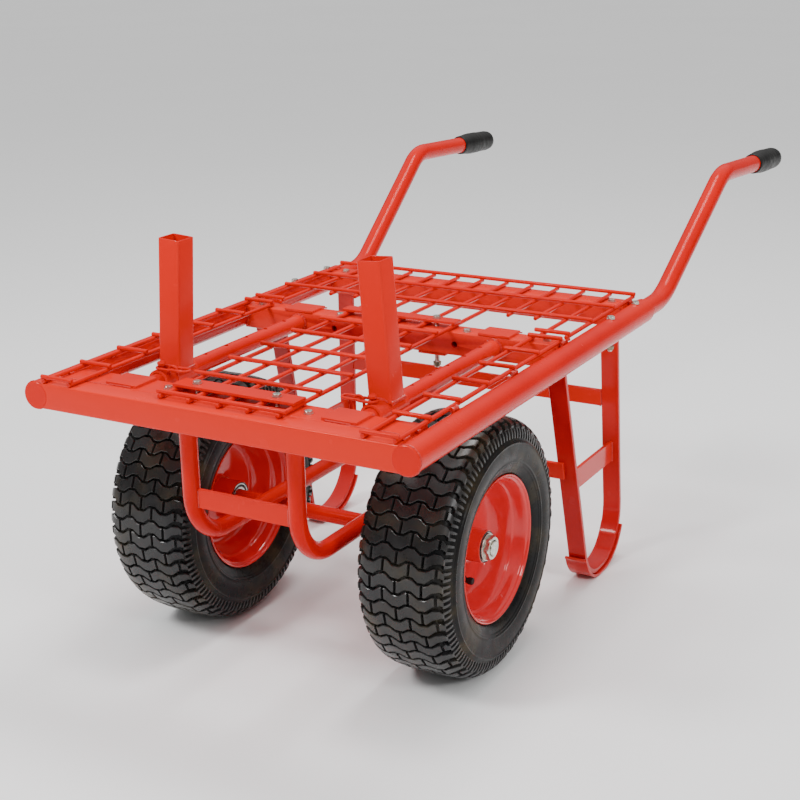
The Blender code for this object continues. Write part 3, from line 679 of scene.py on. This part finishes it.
# ---- handles
def grip_profile():
    """(along, radius) pairs: a flared collar, a bulb with fine grooves, and a domed end."""
    groove_pitch, groove_depth = 0.0062, 0.0005
    prof = [(0.0, 0.0172), (0.0, 0.0186), (0.0012, 0.0196), (0.006, 0.0201), (0.012, 0.0202)]
    shape = ((0.020, 0.0208), (0.046, 0.0229), (0.070, 0.0228), (0.100, 0.0219), (0.124, 0.0216),
             (0.134, 0.0206), (0.139, 0.0180), (0.1415, 0.0150))
    last = prof[-1]
    for d, r in shape:
        for k in range(1, 7):
            t = k / 6
            ease = t * t * (3 - 2 * t)
            at = last[0] + (d - last[0]) * t
            groove = 0
            if 0.040 < at < 0.120:
                groove = groove_depth * (0.5 - 0.5 * math.cos(2 * math.pi * at / groove_pitch))
            prof.append((at, last[1] + (r - last[1]) * ease - groove))
        last = (d, r)
    return prof + [(0.1420, 0.0100), (0.1420, 0.0010)]


def handles():
    grip_length, grip_past_end = 0.142, 0.006
    for n, s in SIDES:
        knots = [(TUBE_X, 0.800, TUBE_Z), (TUBE_X, 0.9430, TUBE_Z), (0.3300, 1.2084, 0.6380),
                 (0.3325, 1.5395, 0.6213)]
        knots = [Vector((s * x, y, z)) for x, y, z in knots]
        path = ([knots[0]] + arc_corner(knots[0], knots[1], knots[2], 0.110, 16)
                + arc_corner(knots[1], knots[2], knots[3], 0.085, 16) + [knots[3]])
        bm = bmesh.new()
        tube(bm, path, HANDLE_R, 48)
        add("handle_tube_" + n, bm, RED, ["handle_" + n])
        bm = bmesh.new()
        bead(bm, circle((s * TUBE_X, TUBE_END + 0.0003, TUBE_Z), 0.0178, 28, "xz"), 0.0016,
             closed=True, seed=3)
        add("handle_collar_weld_" + n, bm, WELD)

        along = (knots[3] - knots[2]).normalized()
        start = knots[3] + along * grip_past_end - along * grip_length
        bm = bmesh.new()
        lathe(bm, start, along, grip_profile(), 48)
        add("grip_cover_" + n, bm, GRIP, ["grip_" + n], smooth=50)


# ---- undercarriage
def under_welds():
    bm = bmesh.new()
    for i, (n, s) in enumerate(SIDES):
        # the tie's ends, the tube's two ends, and the saddle on the axle
        for y, seed in ((0.0725, i), (0.0775, i + 3)):
            bead(bm, run((s * 0.0795, y, TIE_Z + 0.0005), (0, 0, 0.003), 10), 0.0018, seed=seed)
        x = s * UNDER_X
        bead(bm, circle((x, UNDER_Y, 0.4665), 0.0140, 24, "xy"), 0.0018, closed=True, seed=i)
        bead(bm, circle((x, 0.6047, UNDER_Z), 0.0138, 24, "xz"), 0.0018, closed=True, seed=i)
        r = 0.0128
        bead(bm, [(x + r * math.cos(a), WHEEL.y + r * math.sin(a),
                   0.2115 - 0.002 * abs(math.cos(a))) for a in turns(20)], 0.0017,
             closed=True, seed=i + 7)
    add("under_welds", bm, WELD)


def axle():
    end = 0.2760
    hub = Vector((0, WHEEL.y, WHEEL.z))
    bm = bmesh.new()
    lathe(bm, hub, (1, 0, 0), [(-end, AXLE_R - 0.0005), (-0.2750, AXLE_R), (-0.1, AXLE_R),
                               (0.1, AXLE_R), (0.2750, AXLE_R), (end, AXLE_R - 0.0005)], 40)
    add("axle_bar", bm, RED, ["axle"])
    # washer, then a nut round a hollow bore
    layers = ((0.2738, 0.0212, False), (0.2742, 0.0216, False), (0.2760, 0.0216, False),
              (0.2764, 0.0212, False), (0.2764, 0.0194, True), (0.2836, 0.0194, True),
              (0.2850, 0.0172, False), (0.2850, 0.0130, False), (0.2838, 0.0124, False),
              (0.2760, 0.0124, False))
    for n, s in SIDES:
        bm = bmesh.new()
        axes = (Vector((s, 0, 0)), Vector((0, 1, 0)), Vector((0, 0, 1)))
        skin(bm, hexed_rings(hub, axes, layers, 48), closed=True)
        lathe(bm, (s * 0.2740, WHEEL.y, WHEEL.z), (s, 0, 0),
              [(0.0, 0.0118), (0.0124, 0.0118), (0.0136, 0.0106)], 32)
        add("axle_nut_set_" + n, bm, ZINC, ["axle_nut_" + n])


def undercarriage():
    for n, s in SIDES:
        x = s * UNDER_X
        knots = [Vector((x, UNDER_Y, 0.4669)), Vector((x, UNDER_Y, UNDER_Z)),
                 Vector((x, UNDER_END, UNDER_Z))]
        path = [knots[0]] + arc_corner(*knots, 0.078, 22) + [knots[2]]
        bm = bmesh.new()
        tube(bm, path, RAIL_R, 40)
        add("under_tube_skin_" + n, bm, RED, ["under_tube_" + n])
    plate("under_tie_strap", "under_tie", (-0.0800, 0.0800, 0.0720, 0.0780, TIE_Z, TIE_Z + 0.0300))
    under_welds()
    axle()


# ---- legs
def front_y(z):
    """y of the leg's front arm at height z."""
    return 0.5730 + (LEG_TOP - z) * 0.0970 / (LEG_TOP - LEG_LOW)


def rear_y(z):
    """y of the leg's rear arm at height z."""
    return 0.8080 + (LEG_TOP - z) * 0.0135 / (LEG_TOP - LEG_LOW)


def leg_path():
    """(y, z) points of the U-shaped strap, and how many lie on the tab at its start."""
    tab_z = LEG_TOP - 0.0042
    tab = Vector((0, 0.5300, tab_z))
    knee, toe = (0, front_y(tab_z), tab_z), (0, front_y(LEG_LOW), LEG_LOW)
    heel, top = (0, rear_y(LEG_LOW), LEG_LOW), (0, rear_y(LEG_TOP), LEG_TOP)
    path = [tab] + arc_corner(tab, knee, toe, 0.010, 8)
    tab_count = len(path)
    path += arc_corner(knee, toe, heel, 0.055, 18) + arc_corner(toe, heel, top, 0.088, 24)
    return [(p.y, p.z) for p in path + [Vector(top)]], tab_count


def shoe_path(path, tab_count):
    """The part of the strap's outer face that lies low enough to wear on the ground."""
    shoe_top, offset = 0.060, 0.0077
    outer = []
    for i in range(tab_count - 2, len(path) - 1):
        along = (Vector(path[i + 1]) - Vector(path[i - 1])).normalized()
        q = Vector(path[i]) + Vector((along.y, -along.x)) * offset
        if q.y < shoe_top:
            outer.append((q.x, q.y))
    outer[0] = (outer[0][0] - 0.0030, outer[0][1])
    return outer


def leg_welds(n, s, lean, brace_x):
    bm = bmesh.new()
    low = BRACE_Z[0]
    for i, dx in enumerate((-0.0034, 0.0034)):
        for arm_y, inset in ((front_y, 0.0044), (rear_y, -0.0044)):
            bead(bm, [(brace_x + dx, arm_y(z) + inset, z)
                      for z in (low + 0.004 * j for j in range(10))], 0.0018, seed=i)
    for z in (0.281, 0.309):
        bead(bm, [(s * (0.2500 + 0.0008 * j) + lean(z), rear_y(z) - 0.0042, z)
                  for j in range(4)], 0.0018)
    foot = 0.43
    for k, x in enumerate(sorted((s * (LEG_X - LEG_HALF), s * (LEG_X + LEG_HALF)))):
        bead(bm, run((x, rear_y(foot) - 0.004, foot), (0, 0.001, 0), 9), 0.0018, seed=k)
        bead(bm, run((x, front_y(foot) - 0.016, foot), (0, 0.002, 0), 9), 0.0018, seed=k)
    add("leg_welds_" + n, bm, WELD)


def legs():
    path, tab_count = leg_path()
    shoe = shoe_path(path, tab_count)
    za, zb = BRACE_Z
    inset = 0.0040
    corners = [(front_y(za) + inset, za), (rear_y(za) - inset, za),
               (rear_y(zb) - inset, zb), (front_y(zb) + inset, zb)]
    for n, s in SIDES:
        def lean(z, s=s):
            return s * LEG_SPLAY * (LEG_TOP - z) / LEG_TOP

        bm = bmesh.new()
        x0, x1 = sorted((s * (LEG_X - LEG_HALF), s * (LEG_X + LEG_HALF)))
        ribbon(bm, path, 0.008, x0, x1, lean)
        # The legs and their ties take the darker red, a painted shade.
        add("leg_strap_" + n, bm, RED_STRAP_PAINTED_SHADE, ["leg_" + n], bevel=0.0011, segments=3)

        bm = bmesh.new()
        x0, x1 = sorted((s * (LEG_X - SHOE_HALF), s * (LEG_X + SHOE_HALF)))
        ribbon(bm, shoe, 0.0050, x0, x1, lean)
        add("leg_shoe_plate_" + n, bm, RED_STRAP_PAINTED_SHADE, ["leg_shoe_" + n], bevel=0.0008)

        brace_x = s * LEG_X + lean(0.1975)
        bm = bmesh.new()
        skin(bm, [[shift((brace_x + dx, y, z)) for y, z in corners] for dx in (-0.003, 0.003)])
        add("leg_brace_strap_" + n, bm, RED_STRAP_PAINTED_SHADE, ["leg_brace_" + n], bevel=0.0007)
        leg_welds(n, s, lean, brace_x)
    plate("upper_leg_tie", "leg_tie_upper", (-0.2560, 0.2560, 0.8080, 0.8140, 0.2800, 0.3100),
          mat=RED_STRAP_PAINTED_SHADE)
    bm = bmesh.new()
    ribbon(bm, [(front_y(z) - 0.0078, z) for z in (0.2090, 0.2390)], 0.0060, -0.2710, 0.2710)
    add("lower_leg_tie", bm, RED_STRAP_PAINTED_SHADE, ["leg_tie_lower"], bevel=0.0008)


# ---- wheels
# half of the tyre's outline, as (distance from its middle plane, radius)
CROWN = [(0.0, 0.2030), (0.028, 0.2024), (0.048, 0.2004), (0.059, 0.1972), (0.068, 0.1905),
         (0.0745, 0.1790), (0.0780, 0.1640), (0.0785, 0.1500), (0.0762, 0.1380),
         (0.0725, 0.1270), (0.0685, 0.1190), (0.0655, 0.1158), (0.0600, 0.1120),
         (0.0580, 0.1085)]


def smooth_profile(points):
    """Catmull-Rom curve through points and their mirror image.

    Returns its half length and a function from arc position to (x, radius) and outward normal.
    """
    steps = 24
    pts = [Vector(p) for p in points]
    ext = [Vector((-pts[1].x, pts[1].y))] + pts + [pts[-1] * 2 - pts[-2]]
    dense = []
    for i in range(1, len(ext) - 2):
        a, b, c, d = ext[i - 1:i + 3]
        for k in range(steps):
            t = k / steps
            dense.append(0.5 * ((2 * b) + (c - a) * t + (2 * a - 5 * b + 4 * c - d) * t * t
                                + (3 * b - a - 3 * c + d) * t ** 3))
    dense.append(pts[-1])
    lengths = [0.0]
    for a, b in zip(dense, dense[1:]):
        lengths.append(lengths[-1] + (b - a).length)

    def at(s):
        sign = -1.0 if s < 0 else 1.0
        s = min(abs(s), lengths[-1] - 1e-6)
        hi = bisect.bisect_right(lengths, s)
        lo = hi - 1
        t = (s - lengths[lo]) / (lengths[hi] - lengths[lo])
        p = dense[lo].lerp(dense[hi], t)
        d = (dense[hi] - dense[lo]).normalized()
        normal = Vector((-d.y, d.x))
        if normal.dot(Vector((p.x, p.y - 0.15))) < 0:
            normal = -normal
        return Vector((sign * p.x, p.y)), Vector((sign * normal.x, normal.y))
    return at, lengths[-1]


PROFILE, HALF_ARC = smooth_profile(CROWN)
# tread: rows round the tyre, arc positions of the blocks' and ribs' outer ends, groove depth,
# half a block's width, and the arc positions where the zigzag bends
ROWS = 58
TREAD_EDGE = 0.0765
RIB_EDGE = 0.0960
DEPTH = 0.0060
BLOCK = 0.0210
BENDS = [2 * BLOCK * (k + t) for k in range(-2, 2) for t in (0.131, 0.369, 0.631, 0.869)]
ROW_PITCH = 2 * math.pi / ROWS
ROW_GAP, BLOCK_GAP = 0.0038 / WHEEL_R, 0.0032
SHOULDER, SHOULDER_TAPER = 0.046, 0.42


def zigzag(s):
    """How far a cross groove runs ahead at arc position s, as part of the row pitch."""
    t = (s / (2 * BLOCK)) % 1.0
    return 0.16 * max(-1.0, min(1.0, 2.1 * (4 * abs(t - 0.5) - 1.0)))


def lift_at(arc):
    """Height of the carcass over the tyre's outline: the tread base, then sidewall rings."""
    a = abs(arc)
    if a < RIB_EDGE:
        return -DEPTH * min(1.0, (RIB_EDGE - a) / 0.018 + 0.30)
    ring = 0.0
    for at, width, height in ((0.0990, 0.0012, 0.0012), (0.1290, 0.0016, 0.0012),
                              (0.1330, 0.0010, 0.0008)):
        ring += height * math.exp(-((a - at) / width) ** 2)
    return ring - 0.0006


def carcass(bm, place, centre):
    arcs = []
    a = -HALF_ARC
    while a < HALF_ARC:
        arcs.append(a)
        a += 0.0012 if abs(a) > TREAD_EDGE else 0.0050
    arcs.append(HALF_ARC)
    inner = [(0.0560, 0.1080), (0.0600, 0.1300), (0.0600, 0.1700), (0.0, 0.1880),
             (-0.0600, 0.1700), (-0.0600, 0.1300), (-0.0560, 0.1080)]
    rings = []
    for a in turns(120):
        ring = [place(q, a, lift_at(q)) for q in arcs]
        ring += [shift(centre + Vector((x, r * math.cos(a), r * math.sin(a)))) for x, r in inner]
        rings.append(ring)
    skin(bm, rings, closed=True)


def tread_block(bm, place, start, a, b):
    """One block of the row that starts at angle start, between arc positions a and b."""
    margin, apart = 0.002, 0.0016
    kinks = [q for q in BENDS if a + margin < q < b - margin]
    spare = [a + (b - a) * i / 8 for i in range(1, 8)]
    stops = sorted({a, b, *kinks,
                    *(q for q in spare if all(abs(q - k) > apart for k in kinks))})
    wall, chamfer = 0.0009 / WHEEL_R, -0.0008
    tops = []
    for k, q in enumerate(stops):
        past = max(0.0, (abs(q) - SHOULDER) / (TREAD_EDGE - SHOULDER))
        mid = start + zigzag(q) * ROW_PITCH + ROW_PITCH / 2
        half = (ROW_PITCH - ROW_GAP) / 2 * (1.0 - SHOULDER_TAPER * past)
        lo, hi = mid - half, mid + half
        nudge = 0.0007 if k == 0 else -0.0007 if k == len(stops) - 1 else 0.0
        drop = 0.0 if abs(q) < TREAD_EDGE - 0.001 else -0.0016
        tops.append([place(q, lo, -DEPTH), place(q, lo + wall * 0.2, chamfer + drop),
                     place(q + nudge, lo + wall * 1.2, drop),
                     place(q + nudge, hi - wall * 1.2, drop),
                     place(q, hi - wall * 0.2, chamfer + drop), place(q, hi, -DEPTH)])
    skin(bm, tops)


def shoulder_rib(bm, place, start, side, k):
    """A short rib that runs from the row's end down the shoulder."""
    inner, steps = TREAD_EDGE - 0.0020, 6
    mid = start + (0.5 + zigzag(side * TREAD_EDGE) + 0.245 * k) * ROW_PITCH
    tops = []
    for i in range(steps + 1):
        q = side * (inner + (RIB_EDGE - TREAD_EDGE + 0.0020) * i / steps)
        half = ROW_PITCH * (0.150 - 0.008 * i)
        drop = -0.0012 - 0.0030 * (i / steps) ** 2
        tops.append([place(q, mid - half, -DEPTH), place(q, mid - half * 0.75, drop),
                     place(q, mid + half * 0.75, drop), place(q, mid + half, -DEPTH)])
    skin(bm, tops)


def tyre(n, s):
    centre = Vector((s * WHEEL.x, WHEEL.y, WHEEL.z))

    def place(arc, angle, lift):
        p, normal = PROFILE(arc)
        p = p + normal * lift
        return shift(centre + Vector((p.x, p.y * math.cos(angle), p.y * math.sin(angle))))

    bm = bmesh.new()
    carcass(bm, place, centre)
    add("tyre_carcass_" + n, bm, SIDEWALL, ["tyre_" + n], "wheel_" + n,
        smooth=60)

    # tread: zigzag rows cut into staggered blocks
    bm = bmesh.new()
    for row in range(ROWS):
        start = row * ROW_PITCH
        cuts = (-3, -1, 1, 3) if row % 2 else (-2, 0, 2)
        edges = [-TREAD_EDGE] + [c * BLOCK for c in cuts] + [TREAD_EDGE]
        for a, b in zip(edges, edges[1:]):
            tread_block(bm, place, start, a if a == -TREAD_EDGE else a + BLOCK_GAP / 2,
                        b if b == TREAD_EDGE else b - BLOCK_GAP / 2)
        for side in (-1, 1):
            for k in (-1, 1):
                shoulder_rib(bm, place, start, side, k)
    add("tyre_tread_" + n, bm, TYRE, body="wheel_" + n, smooth=28)


def rim(n, s):
    centre = (s * WHEEL.x, WHEEL.y, WHEEL.z)
    # half of the section, from the bead seat over the flange, down the dish and along the hub
    outer = [(0.0600, 0.1085), (0.0630, 0.1128), (0.0648, 0.1150), (0.0664, 0.1151),
             (0.0672, 0.1140), (0.0668, 0.1126), (0.0654, 0.1116), (0.0638, 0.1110),
             (0.0630, 0.1098), (0.0624, 0.1084), (0.0606, 0.1072), (0.0560, 0.1058),
             (0.0500, 0.1042), (0.0440, 0.1022), (0.0424, 0.1012), (0.0414, 0.0994),
             (0.0402, 0.0986), (0.0300, 0.0962), (0.0200, 0.0932), (0.0120, 0.0898),
             (0.0080, 0.0868), (0.0060, 0.0830), (0.0050, 0.0770), (0.0050, 0.0420),
             (0.0054, 0.0300), (0.0075, 0.0268), (0.0100, 0.0258), (0.0430, 0.0258),
             (0.0452, 0.0254), (0.0456, 0.0244), (0.0450, 0.0238), (0.0420, 0.0236),
             (0.0180, 0.0236)]
    bm = bmesh.new()
    lathe(bm, centre, (1, 0, 0), outer + [(-x, r) for x, r in outer[::-1]], 96, closed=True)
    add("rim_dish_" + n, bm, RED_RIM, ["rim_" + n], "wheel_" + n, smooth=42)
    bm = bmesh.new()
    for side in (-1, 1):
        at = (centre[0] + side * 0.0062, centre[1], centre[2])
        bead(bm, circle(at, 0.0272, 40, "yz"), 0.0020, closed=True, seed=side)
    add("hub_weld_" + n, bm, WELD, body="wheel_" + n)
    bearings(n, s, centre)
    valve(n, s, centre)


def bearings(n, s, centre):
    reach = 0.0395
    race = [(-0.006, 0.0128), (0.0052, 0.0128), (0.0060, 0.0134), (0.0060, 0.0164),
            (0.0050, 0.0168), (0.0046, 0.0170), (0.0046, 0.0202), (0.0050, 0.0206),
            (0.0060, 0.0210), (0.0060, 0.0226), (0.0052, 0.0233), (-0.006, 0.0233)]
    seals = ([(0.0040, 0.0166), (0.0052, 0.0168), (0.0052, 0.0204), (0.0040, 0.0206)],
             [(0.0040, 0.0230), (0.0064, 0.0231), (0.0064, 0.0244), (0.0040, 0.0245)])
    for where, d in (("inner", -s * reach), ("outer", s * reach)):
        at = (centre[0] + d, centre[1], centre[2])
        out = (1 if d > 0 else -1, 0, 0)
        bm = bmesh.new()
        lathe(bm, at, out, race, 48, closed=True)
        add("bearing_race_%s_%s" % (n, where), bm, STEEL,
            ["bearing_%s_%s" % (n, where)], "wheel_" + n)
        bm = bmesh.new()
        for profile in seals:
            lathe(bm, at, out, profile, 48, closed=True)
        add("bearing_seal_%s_%s" % (n, where), bm, VALVE, body="wheel_" + n)


def valve(n, s, centre):
    """Rubber valve stem, standing out of the dish below the hub."""
    at = (centre[0] + s * 0.004, centre[1], centre[2] - 0.0625)
    bm = bmesh.new()
    lathe(bm, at, (s, 0, 0),
          [(-0.0060, 0.0030), (-0.0060, 0.0076), (0.0010, 0.0082), (0.0030, 0.0070),
           (0.0060, 0.0046), (0.0100, 0.0042), (0.0104, 0.0052), (0.0112, 0.0057),
           (0.0170, 0.0057), (0.0186, 0.0050), (0.0190, 0.0030), (0.0190, 0.0010)], 28)
    add("valve_stem_" + n, bm, VALVE, ["valve_" + n], "wheel_" + n)


def wheels():
    for n, s in SIDES:
        tyre(n, s)
        rim(n, s)


# ---- posts
def leaned(ob, s):
    """Lean a post piece inward about the rail's axis."""
    at = shift((s * RAIL_X, 0, RAIL_Z))
    at.y = 0.0
    ob.data.transform(Matrix.Translation(at) @ Matrix.Rotation(-s * POST_LEAN, 4, "Y")
                      @ Matrix.Translation(-at))


def rounded_square(half, radius):
    """(x, y) points round a square with rounded corners."""
    steps, flat = 5, half - radius
    points = []
    for cx, cy, start in ((1, 1, 0), (-1, 1, 90), (-1, -1, 180), (1, -1, 270)):
        for k in range(steps + 1):
            a = math.radians(start + 90 * k / steps)
            points.append((cx * flat + radius * math.cos(a), cy * flat + radius * math.sin(a)))
    return points


def chain_link(bm, centre, along, side):
    """An oval link of round wire that lies in the plane of along and side."""
    length, width, wire_r, count = 0.0300, 0.0160, 0.0022, 28
    along, side = Vector(along).normalized(), Vector(side).normalized()
    straight = length / 2 - width / 2
    pts = []
    for i in range(count):
        a = 2 * math.pi * (i + 0.5) / count
        c, q = math.cos(a), math.sin(a)
        pts.append(Vector(centre) + along * (math.copysign(straight, c) + width / 2 * c)
                   + side * width / 2 * q)
    tube(bm, pts, wire_r, 12, closed=True)


def post_tube(n, s, body):
    """Square tube, open on top; its closed lower end is hidden in the sleeve."""
    x, low = s * RAIL_X, RAIL_Z + 0.0125
    outer, inner = rounded_square(POST_HALF, 0.0032), rounded_square(0.0165, 0.0012)
    layers = ((outer, low), (outer, POST_TOP - 0.0005),
              (rounded_square(0.0186, 0.0030), POST_TOP),
              (rounded_square(0.0168, 0.0014), POST_TOP), (inner, POST_TOP - 0.0004),
              (inner, low + 0.008))
    bm = bmesh.new()
    skin(bm, [[shift((x + u, POST_Y + v, z)) for u, v in shape] for shape, z in layers])
    leaned(add("post_tube_" + n, bm, RED, ["post_" + n], body, smooth=40), s)


def post_sleeve(n, s, body):
    bm = bmesh.new()
    lathe(bm, (s * RAIL_X, 0, RAIL_Z), (0, 1, 0),
          [(0.1290, 0.0142), (0.1290, 0.0176), (0.1298, 0.0185), (0.2070, 0.0185),
           (0.2080, 0.0176), (0.2080, 0.0142)], 48, closed=True)
    add("post_sleeve_" + n, bm, RED, body=body)


def post_welds(n, s, body):
    """Beads round the post's foot: over the sleeve's curve, and along its sides."""
    x = s * RAIL_X
    arc = [math.radians(47.0 + 5.375 * j) for j in range(17)]
    bm = bmesh.new()
    for k, v in enumerate((-POST_HALF, POST_HALF)):
        bead(bm, [(x + 0.0190 * math.cos(a), POST_Y + v, RAIL_Z + 0.0190 * math.sin(a))
                  for a in arc], 0.0020, seed=k)
        bead(bm, run((x + v, POST_Y - 0.018, RAIL_Z + 0.0128), (0, 0.004, 0), 10), 0.0026,
             seed=k + 3)
    leaned(add("post_welds_" + n, bm, WELD, body=body), s)


def post_chain(n, s, body):
    """Three links beside the sleeve, as (distance from the rail, y, height, along, side)."""
    inward, up, back = (-s, 0, 0), (0, 0, 1), (0, 1, 0)
    flat, hang = 0.0212, 0.0110
    links = ((0.0105, PIN_Y, flat, inward, back), (0.0235, PIN_Y, hang, up, inward),
             (0.0365, PIN_Y + 0.002, flat, inward, back))
    bm = bmesh.new()
    for u, y, z, along, side in links:
        chain_link(bm, (s * (RAIL_X - u), y, RAIL_Z + z), along, side)
    add("post_chain_links_" + n, bm, RED_WIRE, ["post_chain_" + n], body, smooth=60)


def lock_pin(n, s):
    bm = bmesh.new()
    lathe(bm, (s * RAIL_X, PIN_Y, RAIL_Z + 0.0142), (0, 0, 1),
          [(0.0, 0.0022), (0.0008, 0.0030), (0.0108, 0.0030), (0.0112, 0.0060),
           (0.0150, 0.0063), (0.0162, 0.0050)], 24)
    leaned(add("lock_pin_" + n, bm, RED_WIRE, ["post_pin_" + n], "pin_" + n), s)


def posts():
    for n, s in SIDES:
        body = "post_" + n
        post_tube(n, s, body)
        post_sleeve(n, s, body)
        post_welds(n, s, body)
        post_chain(n, s, body)
        lock_pin(n, s)


# ---- studio
LAMPS = (("key", (-1.1, -2.2, 2.4), 0.7, 50.0), ("fill", (3.2, -1.6, 2.2), 0.8, 45.0),
         ("top", (0.2, 0.6, 3.6), 1.2, 70.0))    # name, place, size in metres, watts
LAMP_TARGET = Vector((0, -0.2, 0.3))
CAMERA_AT = (1.1986, -1.5629, 1.1152)    # y from the deck's front face
CAMERA_RIGHT = Vector((0.87117, 0.49068, -0.01755))
CAMERA_UP = Vector((-0.13652, 0.27641, 0.95130))
CAMERA_LENS, CAMERA_SENSOR = 67.34, 36.0    # millimetres


def floor():
    bm = bmesh.new()
    bmesh.ops.create_grid(bm, x_segments=2, y_segments=2, size=60.0)
    me = bpy.data.meshes.new("studio_floor")
    bm.to_mesh(me)
    bm.free()
    m = Nodes("studio_floor", 0.9)
    pale = m.ramp(m.noise(0.6, 2.0), ((0.3, (0.93, 0.93, 0.93)), (0.7, (0.95, 0.95, 0.95))))
    m.link(pale, m.shader.inputs["Base Color"])
    me.materials.append(m.mat)
    ob = bpy.data.objects.new("studio_floor", me)
    bpy.context.scene.collection.objects.link(ob)


def sky():
    """White overhead, darker towards the horizon and below."""
    world = bpy.data.worlds.new("studio")
    bpy.context.scene.world = world
    world.use_nodes = True
    tree = world.node_tree
    background = tree.nodes["Background"]
    coord = tree.nodes.new("ShaderNodeTexCoord")
    split = tree.nodes.new("ShaderNodeSeparateXYZ")
    ramp = tree.nodes.new("ShaderNodeValToRGB")
    low, high = ramp.color_ramp.elements
    low.position, low.color = 0.30, (0.16, 0.16, 0.16, 1.0)
    high.position, high.color = 0.75, (1.0, 1.0, 1.0, 1.0)
    tree.links.new(coord.outputs["Generated"], split.inputs["Vector"])
    tree.links.new(split.outputs["Z"], ramp.inputs["Fac"])
    tree.links.new(ramp.outputs["Color"], background.inputs["Color"])
    background.inputs["Strength"].default_value = 1.15


def lamps():
    for name, at, size, power in LAMPS:
        light = bpy.data.lights.new(name, "AREA")
        light.shape, light.size, light.energy = "DISK", size, power
        ob = bpy.data.objects.new(name, light)
        ob.location = at
        ob.rotation_euler = (LAMP_TARGET - Vector(at)).to_track_quat("-Z", "Y").to_euler()
        bpy.context.scene.collection.objects.link(ob)


def camera():
    cam = bpy.data.cameras.new("camera")
    cam.lens, cam.sensor_width = CAMERA_LENS, CAMERA_SENSOR
    cam.clip_end = 200.0
    ob = bpy.data.objects.new("camera", cam)
    axes = (CAMERA_RIGHT, CAMERA_UP, CAMERA_RIGHT.cross(CAMERA_UP))
    turn = Matrix(axes).transposed()
    ob.matrix_world = Matrix.Translation(shift(CAMERA_AT)) @ turn.to_4x4()
    bpy.context.scene.collection.objects.link(ob)
    bpy.context.scene.camera = ob


deck_frame()
rails()
deck_mesh()
fasteners()
handles()
undercarriage()
legs()
wheels()
posts()
floor()
sky()
lamps()
camera()

bpy.context.view_layer.update()
